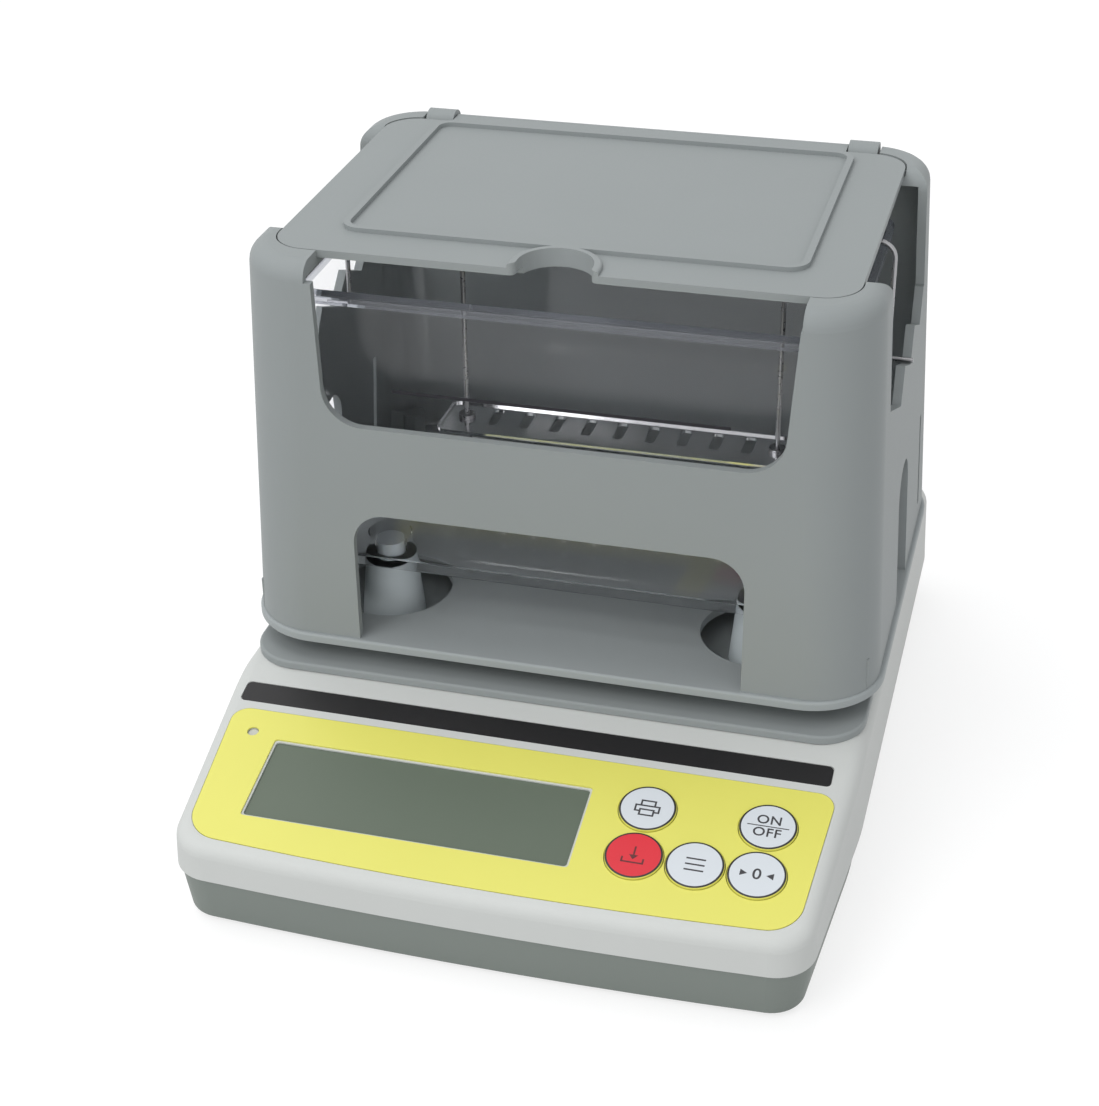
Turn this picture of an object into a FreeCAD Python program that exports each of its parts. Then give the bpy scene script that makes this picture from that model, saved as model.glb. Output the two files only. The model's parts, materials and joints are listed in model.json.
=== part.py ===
import FreeCAD, Part
import os
import math
import Sketcher
from FreeCAD import Placement, Rotation, Vector

# Benchtop density meter, in millimetres.
# Frame: origin on the table under the middle of the case, +X to the right of the user,
# +Y to the back, +Z up.
# The base holds the load cell and carries the unweighed water tank on four posts.
# The weighed stage is the tray, the housing, its lid and the basket that hangs in the tank.

# ---------------------------------------------------------------------------- driving dimensions
# alias: (value, what it is)
SIZES = {
    # case of the base
    "case_width": (191.0, "width at the seam between the two shells"),
    "case_back": (121.5, "origin to the back face at the seam"),
    "case_front": (121.5, "origin to the foremost point of the bowed front"),
    "case_top_z": (43.2, "height of the flat top"),
    "seam_z": (17.0, "height of the seam"),
    "foot_height": (1.5, "height of the feet below the case"),
    "side_taper": (4.2, "how much each side leans in ahead of the fold line, degrees"),
    "front_bow": (2.7, "how far the front edge bows out in the middle"),
    "front_corner": (12.0, "plan radius of the front corners"),
    "back_corner": (15.0, "plan radius of the back corners"),
    "case_draft": (2.6, "draft of the upper shell, degrees"),
    "case_wall": (2.5, "wall of both shells"),
    "case_round": (4.8, "rounding of the upper shell's top edges"),
    "side_fold_round": (120.0, "plan radius where the sides start to narrow"),
    "top_fold_round": (30.0, "radius between the flat top and the panel"),
    "fold_distance": (53.0, "origin forward to the fold line of the panel plane"),
    "fold_z": (42.0, "height of the panel plane at the fold line"),
    "panel_slope": (11.77, "slope of the front panel, degrees"),
    "seam_reveal": (0.6, "how far the lower shell steps in at the seam"),
    "lower_draft": (8.0, "draft of the lower shell, degrees"),
    "lower_round": (1.4, "rounding of the lower shell's bottom edge"),
    # feet
    "foot_radius": (7.5, "rubber foot at its top"),
    "foot_taper": (1.0, "how much narrower the foot is at the table"),
    "foot_plug_radius": (3.0, "plug of the foot through the case floor"),
    "foot_side_inset": (17.5, "side of the case to the middle of a foot"),
    "foot_front_inset": (27.5, "front of the case to the middle of a front foot"),
    "foot_back_inset": (37.5, "back of the case to the middle of a back foot"),
    # sloped panel, measured along the slope from the fold line
    "overlay_recess": (0.4, "depth of the overlay's recess"),
    "overlay_sheet": (0.5, "thickness of the overlay"),
    "overlay_top": (13.7, "fold line to the overlay's top edge"),
    "overlay_bottom": (62.8, "fold line to the ends of the overlay's bottom edge"),
    "overlay_bow": (2.8, "bow of the overlay's bottom edge"),
    "overlay_top_width": (179.0, "overlay at its top edge"),
    "overlay_bottom_width": (172.6, "overlay at its bottom edge"),
    "overlay_top_corner": (5.0, "overlay's top corner radius"),
    "overlay_bottom_corner": (10.0, "overlay's bottom corner radius"),
    "panel_gap": (0.2, "gap round what lies in the panel"),
    "window_left": (72.6, "centre line left to the display window"),
    "window_width": (94.3, "display window"),
    "window_height": (28.2, "display window along the slope"),
    "window_top": (24.7, "fold line to the display window"),
    "window_corner": (1.0, "corner radius of the display window"),
    "window_rim": (0.6, "bare rim of the shell round the window"),
    "window_lip": (0.9, "depth of the window's lens below the panel"),
    "lens_thickness": (1.2, "clear lens"),
    "lens_overlap": (2.0, "how far the lens reaches under the window's edge"),
    "display_thickness": (4.0, "display module"),
    "strip_left": (89.4, "centre line left to the label strip"),
    "strip_width": (176.3, "label strip"),
    "strip_height": (7.5, "label strip along the slope"),
    "strip_top": (3.1, "fold line to the label strip"),
    "strip_corner": (1.5, "corner radius of the label strip"),
    "strip_recess": (0.5, "depth of the label strip's recess"),
    "strip_sheet": (0.4, "thickness of the label strip"),
    "led_left": (80.9, "centre line left to the stability indicator"),
    "led_down": (22.4, "fold line to the stability indicator"),
    "led_radius": (1.5, "stability indicator"),
    "led_sink": (0.6, "how deep the indicator sits"),
    # keys
    "key_radius": (8.1, "key cap"),
    "key_column": (39.0, "centre line right to the first column of keys"),
    "key_pitch": (16.9, "column to column"),
    "key_row": (29.0, "fold line to the first row of keys"),
    "key_row_pitch": (17.1, "row to row"),
    "key_gap": (0.25, "gap round a key cap"),
    "key_proud": (0.8, "key cap above the panel"),
    "key_cap": (1.8, "thickness of a key cap"),
    "key_travel": (0.5, "how far a key can be pressed"),
    "key_well": (2.0, "depth of the wells that the caps move in"),
    "key_stem_radius": (3.0, "stem of a key"),
    "key_stem": (5.0, "length of a key's stem"),
    "guide_depth": (2.2, "thickness of the guide block under the wells"),
    "running_gap": (0.05, "radial clearance of sliding and turning fits"),
    "switch_side": (6.0, "key switch, a square box"),
    "switch_height": (2.5, "key switch without its plunger"),
    "plunger_radius": (1.7, "plunger of a key switch"),
    "plunger_height": (0.6, "plunger above its switch"),
    "board_thickness": (1.6, "both circuit boards"),
    # load cell and what it carries
    "cell_width": (20.0, "load cell bar across"),
    "cell_length": (94.0, "load cell bar, front to back"),
    "cell_height": (18.0, "load cell bar"),
    "cell_back": (108.0, "origin back to the fixed end of the load cell"),
    "cell_bore": (5.5, "radius of the two bores that make the bar flex"),
    "cell_bore_pitch": (18.0, "distance between those bores"),
    "block_height": (7.0, "block under the load cell's fixed end"),
    "block_length": (26.0, "block along the load cell"),
    "block_width": (26.0, "block across the load cell"),
    "cell_screw_inset": (8.0, "load cell's end to its outer screw"),
    "cell_screw_pitch": (11.0, "screw to screw at each end of the load cell"),
    "stop_radius": (3.0, "overload stops"),
    "stop_gap": (0.4, "free end of the load cell to the overload stops"),
    "hub_back": (26.5, "origin back to the middle of the hub"),
    "hub_radius": (9.5, "stem of the hub"),
    "hub_flange_radius": (21.0, "flange of the hub under the tray"),
    "hub_flange": (2.5, "thickness of the hub's flange"),
    "hub_hole_radius": (12.5, "hole for the hub in case and platform"),
    "hub_screw_circle": (15.5, "radius of the hub's screw circle"),
    # tank platform and posts
    "platform_side_inset": (2.5, "side of the case to the side of the platform"),
    "platform_front": (49.0, "origin forward to the platform's front edge"),
    "platform_back": (100.0, "origin back to the platform's back edge"),
    "platform_plate": (2.4, "thickness of the platform"),
    "platform_corner": (14.0, "corner radius of the platform"),
    "post_spread": (58.0, "post to the centre line"),
    "post_front": (12.0, "origin forward to the front posts"),
    "post_back": (51.0, "origin back to the back posts"),
    "post_foot_radius": (9.8, "post at its foot"),
    "post_head_radius": (7.8, "post at its head"),
    "post_top_z": (65.8, "height of the posts' heads, where the tank stands"),
    "pin_radius": (4.2, "locating pin on a post"),
    "pin_height": (5.0, "locating pin"),
    # stage tray and housing
    "tray_rim": (1.3, "how far the tray stands out round the housing"),
    "tray_z": (51.6, "underside of the tray"),
    "tray_plate": (2.6, "thickness of the tray"),
    "tray_corner": (22.5, "corner radius of the tray"),
    "tray_round": (0.8, "rounding of the tray's upper edge"),
    "tray_hole_radius": (18.5, "holes that the posts pass through"),
    "housing_half": (94.7, "half the housing's width at the tray"),
    "housing_half_top": (89.3, "half the housing's width at its top"),
    "housing_front": (44.3, "origin forward to the housing's front face"),
    "housing_back": (97.6, "origin back to the housing's back face at the tray"),
    "housing_back_top": (89.9, "origin back to the housing's back face at its top"),
    "housing_corner": (20.0, "plan radius of the housing's front corners"),
    "housing_back_corner": (18.0, "plan radius of the housing's back corners"),
    "housing_wall": (2.5, "wall of the housing"),
    "housing_round": (5.5, "rounding of the housing's top edge"),
    "housing_top_z": (173.0, "top of the housing and the lid"),
    "ledge": (2.2, "thickness of the ledges that the lid rests on"),
    "window_left_top": (65.5, "middle to the front window's left side at the housing's top"),
    "window_right_top": (69.8, "middle to the front window's right side at the housing's top"),
    "window_left_sill": (64.2, "middle to the front window's left side at its sill"),
    "window_right_sill": (66.5, "middle to the front window's right side at its sill"),
    "window_step_left": (67.4, "middle to the left end of the gap ahead of the lid"),
    "front_window_z": (125.0, "sill of the front window"),
    "front_window_corner": (11.5, "lower corners of the front window"),
    "arch_half": (57.5, "half the front arch"),
    "arch_top_z": (97.2, "top of the front and side arches"),
    "arch_corner": (10.0, "top corners of the arches"),
    "side_front": (15.0, "origin forward to the side openings"),
    "side_back": (65.0, "origin back to the end of the side openings"),
    "notch_z": (125.6, "bottom of the middle V notch"),
    "notch_step": (3.0, "how much higher each notch lies than the one ahead of it"),
    "notch_rise": (8.8, "notch bottom up to the crest behind it"),
    "notch_run": (8.3, "notch bottom back to that crest"),
    "notch_pitch": (22.3, "notch to notch"),
    "hang_back": (33.0, "origin back to the middle notch, where the basket hangs"),
    "pillar_round": (6.0, "rounding of the pillars' tops beside the side openings"),
    "side_arch_front": (13.0, "origin back to the front of the side arch"),
    "side_arch_back": (35.0, "origin back to the end of the side arch"),
    "slot_front": (66.0, "origin back to the side slot"),
    "slot_width": (3.0, "side slot"),
    "slot_low_z": (60.5, "lower end of the side slot"),
    "slot_high_z": (92.0, "upper end of the side slot"),
    "boss_side_inset": (11.7, "side of the housing to the middle of a screw boss"),
    "boss_front_inset": (11.3, "front of the housing to the middle of a front boss"),
    "boss_back_inset": (13.6, "back of the housing to the middle of a back boss"),
    "boss_radius": (4.0, "screw bosses"),
    "boss_height": (10.0, "screw bosses above the tray"),
    # lid and hinge
    "lid_half": (82.2, "half the lid's width"),
    "lid_front": (32.8, "origin forward to the lid's front edge"),
    "lid_back": (78.5, "origin back to the lid's back edge outside the ears"),
    "lid_plate": (2.2, "thickness of the lid"),
    "lid_corner": (10.5, "corner radius of the lid"),
    "lid_gap": (0.4, "gap between lid and housing"),
    "lid_swing": (1.4, "gap behind the lid, so that its back edge can swing up"),
    "ridge_half": (66.5, "half the width of the raised frame"),
    "ridge_front": (18.0, "origin forward to the raised frame"),
    "ridge_back": (75.5, "origin back to the raised frame"),
    "ridge_width": (2.0, "width of the raised frame"),
    "ridge_height": (1.3, "height of the raised frame"),
    "ridge_corner": (6.0, "corner radius of the raised frame"),
    "notch_radius": (10.6, "finger notch in the lid"),
    "notch_centre": (29.5, "origin forward to the centre of the finger notch"),
    "notch_flare": (2.0, "radius that turns the notch's sides out to the lid's front edge"),
    "notch_bead": (2.2, "width of the bead round the finger notch"),
    "bead_round": (0.9, "rounding of that bead's top edges"),
    "notch_skirt": (2.0, "how far that bead reaches below the lid"),
    "skirt_front": (26.0, "origin forward to the front ends of that skirt"),
    "hinge_back": (84.5, "origin back to the hinge axis"),
    "hinge_drop": (3.5, "top of the lid down to the hinge axis"),
    "barrel_radius": (3.6, "barrel of the lid"),
    "ear_inner": (63.3, "centre line to the inner side of an ear"),
    "ear_width": (9.0, "width of an ear"),
    "ear_radius": (5.0, "ear round the hinge axis"),
    "ear_slit": (0.8, "slit beside an ear"),
    "hinge_pin_radius": (1.25, "hinge pin"),
    "hinge_pin_reach": (8.0, "how far a hinge pin reaches into the barrel"),
    # tank
    "tank_half": (79.0, "half the tank's width under its rim"),
    "tank_floor_half": (75.0, "half the tank's width at its floor"),
    "tank_centre": (19.5, "origin back to the middle of the tank"),
    "tank_depth": (95.6, "tank front to back under its rim"),
    "tank_floor_depth": (92.0, "tank front to back at its floor"),
    "tank_top_z": (158.0, "rim of the tank"),
    "tank_wall": (2.4, "wall of the tank"),
    "tank_floor": (3.0, "floor of the tank"),
    "tank_corner": (9.0, "corners of the tank"),
    "tank_round": (7.0, "rounding of the tank's bottom edge"),
    "rim_width": (2.2, "how far the rim stands out of the tank's walls"),
    "rim_height": (2.4, "height of the rim"),
    "socket_wall": (2.3, "wall of the sockets in the tank's floor"),
    "socket_gap": (0.3, "gap between a pin and its socket"),
    # basket
    "basket_z": (91.0, "underside of the basket tray"),
    "basket_half": (57.0, "half the basket tray's width"),
    "basket_shift": (3.3, "how far the tray hangs to the right of the middle"),
    "basket_ahead": (11.5, "wires forward to the front of the basket tray"),
    "basket_behind": (9.6, "wires back to the back of the basket tray"),
    "basket_sheet": (1.0, "thickness of the basket tray"),
    "basket_rim": (1.6, "height of the basket tray's rim"),
    "basket_edge": (0.9, "rounding of the basket tray's lower edge"),
    "basket_corner": (3.0, "corner radius of the basket tray"),
    "slot_pitch": (10.2, "basket slot to slot"),
    "slot_long": (11.0, "basket slot front to back"),
    "slot_wide": (3.4, "basket slot"),
    "slot_behind": (1.4, "wires back to the middle of the slots"),
    "rod_radius": (0.75, "wire of the hangers"),
    "rod_inset": (7.2, "tray's end to the foot of a hanger"),
    "rod_bend": (5.0, "bend radius of the hangers"),
    "rod_over_rim": (5.4, "tank's rim up to the hangers where they cross it"),
    "rod_beside_rim": (3.4, "tank's rim out to the hangers' drop"),
    "rod_tip": (0.7, "how far a hanger's tip stands out of the housing"),
    "rod_rest": (0.12, "gap between a tip and its notch"),
    "collar_radius": (2.6, "collars that clamp the tray on a hanger"),
    "collar_height": (1.2, "those collars"),
    # boards and sockets at the back
    "main_left": (86.0, "centre line left to the main board"),
    "main_width": (66.0, "main board across"),
    "main_length": (46.0, "main board front to back"),
    "main_back": (112.0, "origin back to the main board's back edge"),
    "main_z": (16.6, "underside of the main board"),
    "board_inset": (4.5, "board's edge to its screws"),
    "standoff_radius": (3.0, "standoffs of the boards"),
    "jack_left": (74.0, "centre line left to the power inlet"),
    "jack_width": (9.0, "power inlet"),
    "jack_height": (11.0, "power inlet"),
    "jack_bore": (3.1, "opening of the power inlet"),
    "jack_needle": (1.0, "centre pin of the power inlet"),
    "port_left": (42.0, "centre line left to the data port"),
    "port_width": (31.0, "data port"),
    "port_height": (12.5, "data port"),
    "port_mouth_width": (17.0, "mouth of the data port"),
    "port_mouth_height": (8.4, "mouth of the data port"),
    "socket_depth": (8.0, "depth of both mouths"),
    "socket_length": (15.0, "power inlet and data port, front to back"),
    "socket_sink": (1.0, "both behind the back face of the case"),
    # screws
    "screw_radius": (1.5, "shank of the screws"),
    "screw_head_radius": (2.8, "head of the screws"),
    "screw_head": (1.8, "height of a screw head"),
    "screw_drive": (1.2, "hexagon in a screw head"),
    "screw_reach": (9.0, "length of a case or post screw in its boss"),
    "pillar_radius": (4.2, "screw pillars of the case"),
    "pillar_side_inset": (11.0, "side of the case to the middle of a screw pillar"),
    "pillar_front_inset": (59.5, "front of the case to the middle of a front pillar"),
    "pillar_back_inset": (18.5, "back of the case to the middle of a back pillar"),
}

doc = FreeCAD.newDocument("density_meter")
sheet = doc.addObject("Spreadsheet::Sheet", "Sizes")


class Size:
    """A length or angle as a spreadsheet formula, with its present number."""

    def __init__(self, text, number):
        self.text = text
        self.number = number

    @staticmethod
    def of(value):
        return value if isinstance(value, Size) else Size(str(float(value)), float(value))

    def __add__(self, other):
        other = Size.of(other)
        return Size(f"({self.text} + {other.text})", self.number + other.number)

    def __sub__(self, other):
        other = Size.of(other)
        return Size(f"({self.text} - {other.text})", self.number - other.number)

    def __mul__(self, other):
        other = Size.of(other)
        return Size(f"({self.text} * {other.text})", self.number * other.number)

    def __truediv__(self, other):
        other = Size.of(other)
        return Size(f"({self.text} / {other.text})", self.number / other.number)

    def __radd__(self, other):
        return Size.of(other) + self

    def __rsub__(self, other):
        return Size.of(other) - self

    def __rmul__(self, other):
        return Size.of(other) * self

    def __neg__(self):
        return Size(f"(0 - {self.text})", -self.number)


def sine(angle):
    return Size(f"sin({angle.text} * 1 deg)", math.sin(math.radians(angle.number)))


def cosine(angle):
    return Size(f"cos({angle.text} * 1 deg)", math.cos(math.radians(angle.number)))


def tangent(angle):
    return Size(f"tan({angle.text} * 1 deg)", math.tan(math.radians(angle.number)))


def length_of(across, along):
    """Length of the line that goes so far across and so far along."""
    text = f"sqrt({across.text} * {across.text} + {along.text} * {along.text})"
    return Size(text, math.hypot(across.number, along.number))


class Sheet:
    """The driving dimensions by their aliases."""

    def __getattr__(self, alias):
        return Size(f"Sizes.{alias}", SIZES[alias][0])


S = Sheet()
ZERO = Size("0", 0.0)
for row, (alias, (number, meaning)) in enumerate(SIZES.items(), 1):
    sheet.set(f"A{row}", alias)
    sheet.set(f"B{row}", str(number))
    sheet.setAlias(f"B{row}", alias)
    sheet.set(f"C{row}", meaning)
doc.recompute()


# ---------------------------------------------------------------------------- building blocks
def bind(item, path, size):
    item.setExpression(path, Size.of(size).text)


def place(item, x=ZERO, y=ZERO, z=ZERO, rotation=Rotation()):
    item.Placement = Placement(Vector(0, 0, 0), rotation)
    bind(item, "Placement.Base.x", x)
    bind(item, "Placement.Base.y", y)
    bind(item, "Placement.Base.z", z)
    return item


def on_panel(item):
    """Lays an item, drawn flat, on the sloped panel: its origin is on the fold line."""
    place(item, ZERO, -S.fold_distance, S.fold_z, Rotation(Vector(1, 0, 0), S.panel_slope.number))
    bind(item, "Placement.Rotation.Angle", S.panel_slope)
    return item


def box(name, low, high):
    """Box between two corners."""
    item = doc.addObject("Part::Box", name)
    for side, start, end in zip(("Length", "Width", "Height"), low, high):
        bind(item, side, Size.of(end) - start)
    return place(item, *low)


AXES = {
    "Z": Rotation(),
    "X": Rotation(Vector(0, 1, 0), 90),
    "Y": Rotation(Vector(1, 0, 0), -90),
}


def cylinder(name, radius, height, x, y, z, axis="Z"):
    item = doc.addObject("Part::Cylinder", name)
    bind(item, "Radius", radius)
    bind(item, "Height", height)
    return place(item, x, y, z, AXES[axis])


def cone(name, low_radius, high_radius, height, x, y, z):
    item = doc.addObject("Part::Cone", name)
    bind(item, "Radius1", low_radius)
    bind(item, "Radius2", high_radius)
    bind(item, "Height", height)
    return place(item, x, y, z)


def fuse(name, items):
    item = doc.addObject("Part::MultiFuse", name)
    item.Shapes = items
    item.Refine = True
    return item


def cut(name, base, tools):
    item = doc.addObject("Part::Cut", name)
    item.Base = base
    item.Tool = tools[0] if len(tools) == 1 else fuse(name + "_cuts", tools)
    item.Refine = True
    return item


def group(name, items):
    """Identical separate solids under one name."""
    item = doc.addObject("Part::Compound", name)
    item.Links = items
    return item


def sketch_on(body, name, role, offset):
    """Empty sketch on an origin plane of the body, moved along that plane's normal."""
    sketch = body.newObject("Sketcher::SketchObject", name)
    plane = next(part for part in body.Origin.OriginFeatures if part.Role == role)
    sketch.AttachmentSupport = (plane, [""])
    sketch.MapMode = "FlatFace"
    bind(sketch, "AttachmentOffset.Base.z", offset)
    return sketch


def draw(sketch, points, arcs=None):
    """Closed outline through bound points. arcs: edge number to (middle x, middle y, radius)."""
    arcs = arcs or {}
    ends = []
    count = len(points)
    for index, (x, y) in enumerate(points):
        next_x, next_y = points[(index + 1) % count]
        start = Vector(x.number, y.number, 0)
        end = Vector(next_x.number, next_y.number, 0)
        if index in arcs:
            middle_x, middle_y, radius = arcs[index]
            middle = Vector(middle_x.number, middle_y.number, 0)
            # a sketch keeps its arcs anticlockwise
            forward = (middle - start).cross(end - middle).z > 0
            curve = Part.Arc(start, middle, end) if forward else Part.Arc(end, middle, start)
            edge = sketch.addGeometry(curve)
            ends.append((1, 2) if forward else (2, 1))
            rule = sketch.addConstraint(Sketcher.Constraint("Radius", edge, radius.number))
            sketch.renameConstraint(rule, f"radius{index}")
            bind(sketch, f"Constraints.radius{index}", radius)
        else:
            sketch.addGeometry(Part.LineSegment(start, end))
            ends.append((1, 2))
    for index, (x, y) in enumerate(points):
        follower = (index + 1) % count
        sketch.addConstraint(
            Sketcher.Constraint("Coincident", index, ends[index][1], follower, ends[follower][0]))
        for kind, letter, size in (("DistanceX", "x", x), ("DistanceY", "y", y)):
            rule = sketch.addConstraint(
                Sketcher.Constraint(kind, -1, 1, index, ends[index][0], size.number))
            sketch.renameConstraint(rule, f"{letter}{index}")
            bind(sketch, f"Constraints.{letter}{index}", size)
    return sketch


def rectangle(x_low, x_high, y_low, y_high):
    return [(x_low, y_low), (x_high, y_low), (x_high, y_high), (x_low, y_high)]


def feature(body, kind, name):
    return body.newObject(f"PartDesign::{kind}", name)


def edges_where(shape, test):
    names = [f"Edge{number}" for number, edge in enumerate(shape.Edges, 1) if test(edge)]
    if not names:
        raise RuntimeError("no edge to round")
    return names


def round_edges(body, name, radius, test):
    """Fillets the edges of the body's present shape that pass the test."""
    doc.recompute()
    base = body.Tip
    fillet = feature(body, "Fillet", name)
    fillet.Base = (base, edges_where(base.Shape, test))
    bind(fillet, "Radius", radius)
    doc.recompute()
    return fillet


def runs_along(edge, axis, least=0.9):
    """True for a straight edge that runs mostly along the axis."""
    if len(edge.Vertexes) < 2:
        return False
    chord = edge.Vertexes[1].Point - edge.Vertexes[0].Point
    return chord.Length > 0.999 * edge.Length and abs(chord.dot(axis)) > least * chord.Length


UP = Vector(0, 0, 1)
ACROSS = Vector(1, 0, 0)
BACK = Vector(0, 1, 0)
NORMALS = {"XY_Plane": UP, "XZ_Plane": BACK, "YZ_Plane": ACROSS}


def prism(name, role, points, low, high, corner=None, arcs=None):
    """Body between two heights over an outline on an origin plane, its corners rounded.

    On XY_Plane the outline is (x, y) and the heights are z, on XZ_Plane (x, z) and y,
    on YZ_Plane (y, z) and x.
    """
    body = doc.addObject("PartDesign::Body", name)
    low, high = Size.of(low), Size.of(high)
    offset = -high if role == "XZ_Plane" else low
    outline = draw(sketch_on(body, name + "_outline", role, offset), points, arcs)
    pad = feature(body, "Pad", name + "_pad")
    pad.Profile = outline
    bind(pad, "Length", high - low)
    if corner is not None:
        normal = NORMALS[role]
        round_edges(body, name + "_corners", corner, lambda edge: runs_along(edge, normal))
    return body


def tapered(name, low_points, high_points, low, high):
    """Body with flat leaning sides between a low and a high rectangle."""
    (low_left, low_front), _, (low_right, low_back), _ = low_points
    (high_left, high_front), _, (high_right, high_back), _ = high_points
    body = doc.addObject("PartDesign::Body", name)
    wedge = feature(body, "AdditiveWedge", name + "_wedge")
    # the wedge's own y is its height, so it is stood up
    wedge.Placement = Placement(Vector(0, 0, 0), Rotation(ACROSS, 90))
    sizes = {"Xmin": low_left, "Xmax": low_right, "Zmin": -low_back, "Zmax": -low_front,
             "X2min": high_left, "X2max": high_right, "Z2min": -high_back, "Z2max": -high_front,
             "Ymin": low, "Ymax": high}
    for path, size in sizes.items():
        bind(wedge, path, size)
    return body


def screw(name, x, y, z, length, up=True):
    """Hexagon-socket screw with the underside of its head at z, its shank up or down."""
    shank_z = z if up else z - length
    head_z = z - S.screw_head if up else z
    drive_z = head_z if up else head_z + S.screw_head / 2
    shank = cylinder(name + "_shank", S.screw_radius, length, x, y, shank_z)
    head = cylinder(name + "_head", S.screw_head_radius, S.screw_head, x, y, head_z)
    drive = doc.addObject("Part::Prism", name + "_drive")
    drive.Polygon = 6
    bind(drive, "Circumradius", S.screw_drive)
    bind(drive, "Height", S.screw_head / 2)
    place(drive, x, y, drive_z)
    return cut(name, fuse(name + "_blank", [shank, head]), [drive])


def bores(name, radius, places, low, high):
    """Upright round cutting tools at the given places."""
    return [cylinder(f"{name}_{index}", radius, high - low, x, y, low)
            for index, (x, y) in enumerate(places)]


nodes = []


def node(item, name):
    """Marks a finished piece: its label names its file."""
    item.Label = name
    nodes.append(item)
    return item


# ---------------------------------------------------------------------------- shared places
SCREW_HOLE = S.screw_radius + S.running_gap
CASE_FLOOR_Z = S.foot_height + S.case_wall
PANEL_TAN = tangent(S.panel_slope)
# how far a cutting form runs past the case, and how far one stands out of the panel on either side
PAST_CASE = 20
PAST_PANEL = 5
LENS_SEAT_DEPTH = 12
POSTS = {
    "front_left": (-S.post_spread, -S.post_front),
    "front_right": (S.post_spread, -S.post_front),
    "back_left": (-S.post_spread, S.post_back),
    "back_right": (S.post_spread, S.post_back),
}
FOOT_X = S.case_width / 2 - S.foot_side_inset
FOOT_FRONT_Y = S.foot_front_inset - S.case_front
FOOT_BACK_Y = S.case_back - S.foot_back_inset
FEET = {
    "front_left": (-FOOT_X, FOOT_FRONT_Y),
    "front_right": (FOOT_X, FOOT_FRONT_Y),
    "back_left": (-FOOT_X, FOOT_BACK_Y),
    "back_right": (FOOT_X, FOOT_BACK_Y),
}
PILLAR_X = S.case_width / 2 - S.pillar_side_inset
PILLAR_FRONT_Y = S.pillar_front_inset - S.case_front
PILLAR_BACK_Y = S.case_back - S.pillar_back_inset
FRONT_PILLARS = [(-PILLAR_X, PILLAR_FRONT_Y), (PILLAR_X, PILLAR_FRONT_Y)]
BACK_PILLARS = [(-PILLAR_X, PILLAR_BACK_Y), (PILLAR_X, PILLAR_BACK_Y)]
PILLARS = FRONT_PILLARS + BACK_PILLARS
BOSS_X = S.housing_half - S.boss_side_inset
BOSS_FRONT_Y = S.boss_front_inset - S.housing_front
BOSS_BACK_Y = S.housing_back - S.boss_back_inset
BOSSES = [(-BOSS_X, BOSS_FRONT_Y), (BOSS_X, BOSS_FRONT_Y), (-BOSS_X, BOSS_BACK_Y),
          (BOSS_X, BOSS_BACK_Y)]
# key name to (column, row)
KEYS = {"key_print": (0, 0), "key_memory": (0, 1), "key_function": (1, 1),
        "key_on_off": (2, 0), "key_zero": (2, 1)}


def key_place(column, row):
    return S.key_column + column * S.key_pitch, -(S.key_row + row * S.key_row_pitch)


# ---------------------------------------------------------------------------- case of the base
def case_outline(inset):
    """Plan of the case: straight sides, a front that narrows and bows out."""
    half = S.case_width / 2 - inset
    front_y = -(S.case_front - S.front_bow - inset)
    front_half = half + (front_y + S.fold_distance) * tangent(S.side_taper)
    reach = S.side_fold_round * tangent(S.side_taper / 2)
    bend_y = reach - S.fold_distance
    bend_end = (half - reach * sine(S.side_taper), -S.fold_distance - reach * cosine(S.side_taper))
    bend_middle = (half - S.side_fold_round * (1 - cosine(S.side_taper / 2)),
                   bend_y - S.side_fold_round * sine(S.side_taper / 2))
    points = [(half, S.case_back - inset), (-half, S.case_back - inset),
              (-half, bend_y), (-bend_end[0], bend_end[1]),
              (-front_half, front_y), (front_half, front_y), bend_end, (half, bend_y)]
    bow = (front_half * front_half + S.front_bow * S.front_bow) / (2 * S.front_bow)
    arcs = {2: (-bend_middle[0], bend_middle[1], S.side_fold_round),
            4: (ZERO, -(S.case_front - inset), bow),
            6: (bend_middle[0], bend_middle[1], S.side_fold_round)}
    return points, arcs


def draft_sides(body, name, angle, neutral_z):
    """Leans the sides of a straight pad inwards, away from the height that keeps its size."""
    doc.recompute()
    base = body.Tip
    sides = []
    for number, face in enumerate(base.Shape.Faces, 1):
        box_of_face = face.BoundBox
        if box_of_face.ZLength > 1:
            sides.append(f"Face{number}")
        elif abs(box_of_face.ZMin - neutral_z.number) < 0.01:
            neutral = f"Face{number}"
    draft = feature(body, "Draft", name + "_draft")
    draft.Base = (base, sides)
    draft.NeutralPlane = (base, [neutral])
    bind(draft, "Angle", angle)
    doc.recompute()


def round_case_corners(body, name, inset):
    """Rounds the upright edges of a straight case body."""
    fold_y = -S.fold_distance.number

    def in_front(edge):
        return runs_along(edge, UP) and edge.BoundBox.Center.y < 1.5 * fold_y

    def at_back(edge):
        return runs_along(edge, UP) and edge.BoundBox.Center.y > 0

    round_edges(body, name + "_front_corners", S.front_corner - inset, in_front)
    round_edges(body, name + "_back_corners", S.back_corner - inset, at_back)


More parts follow.
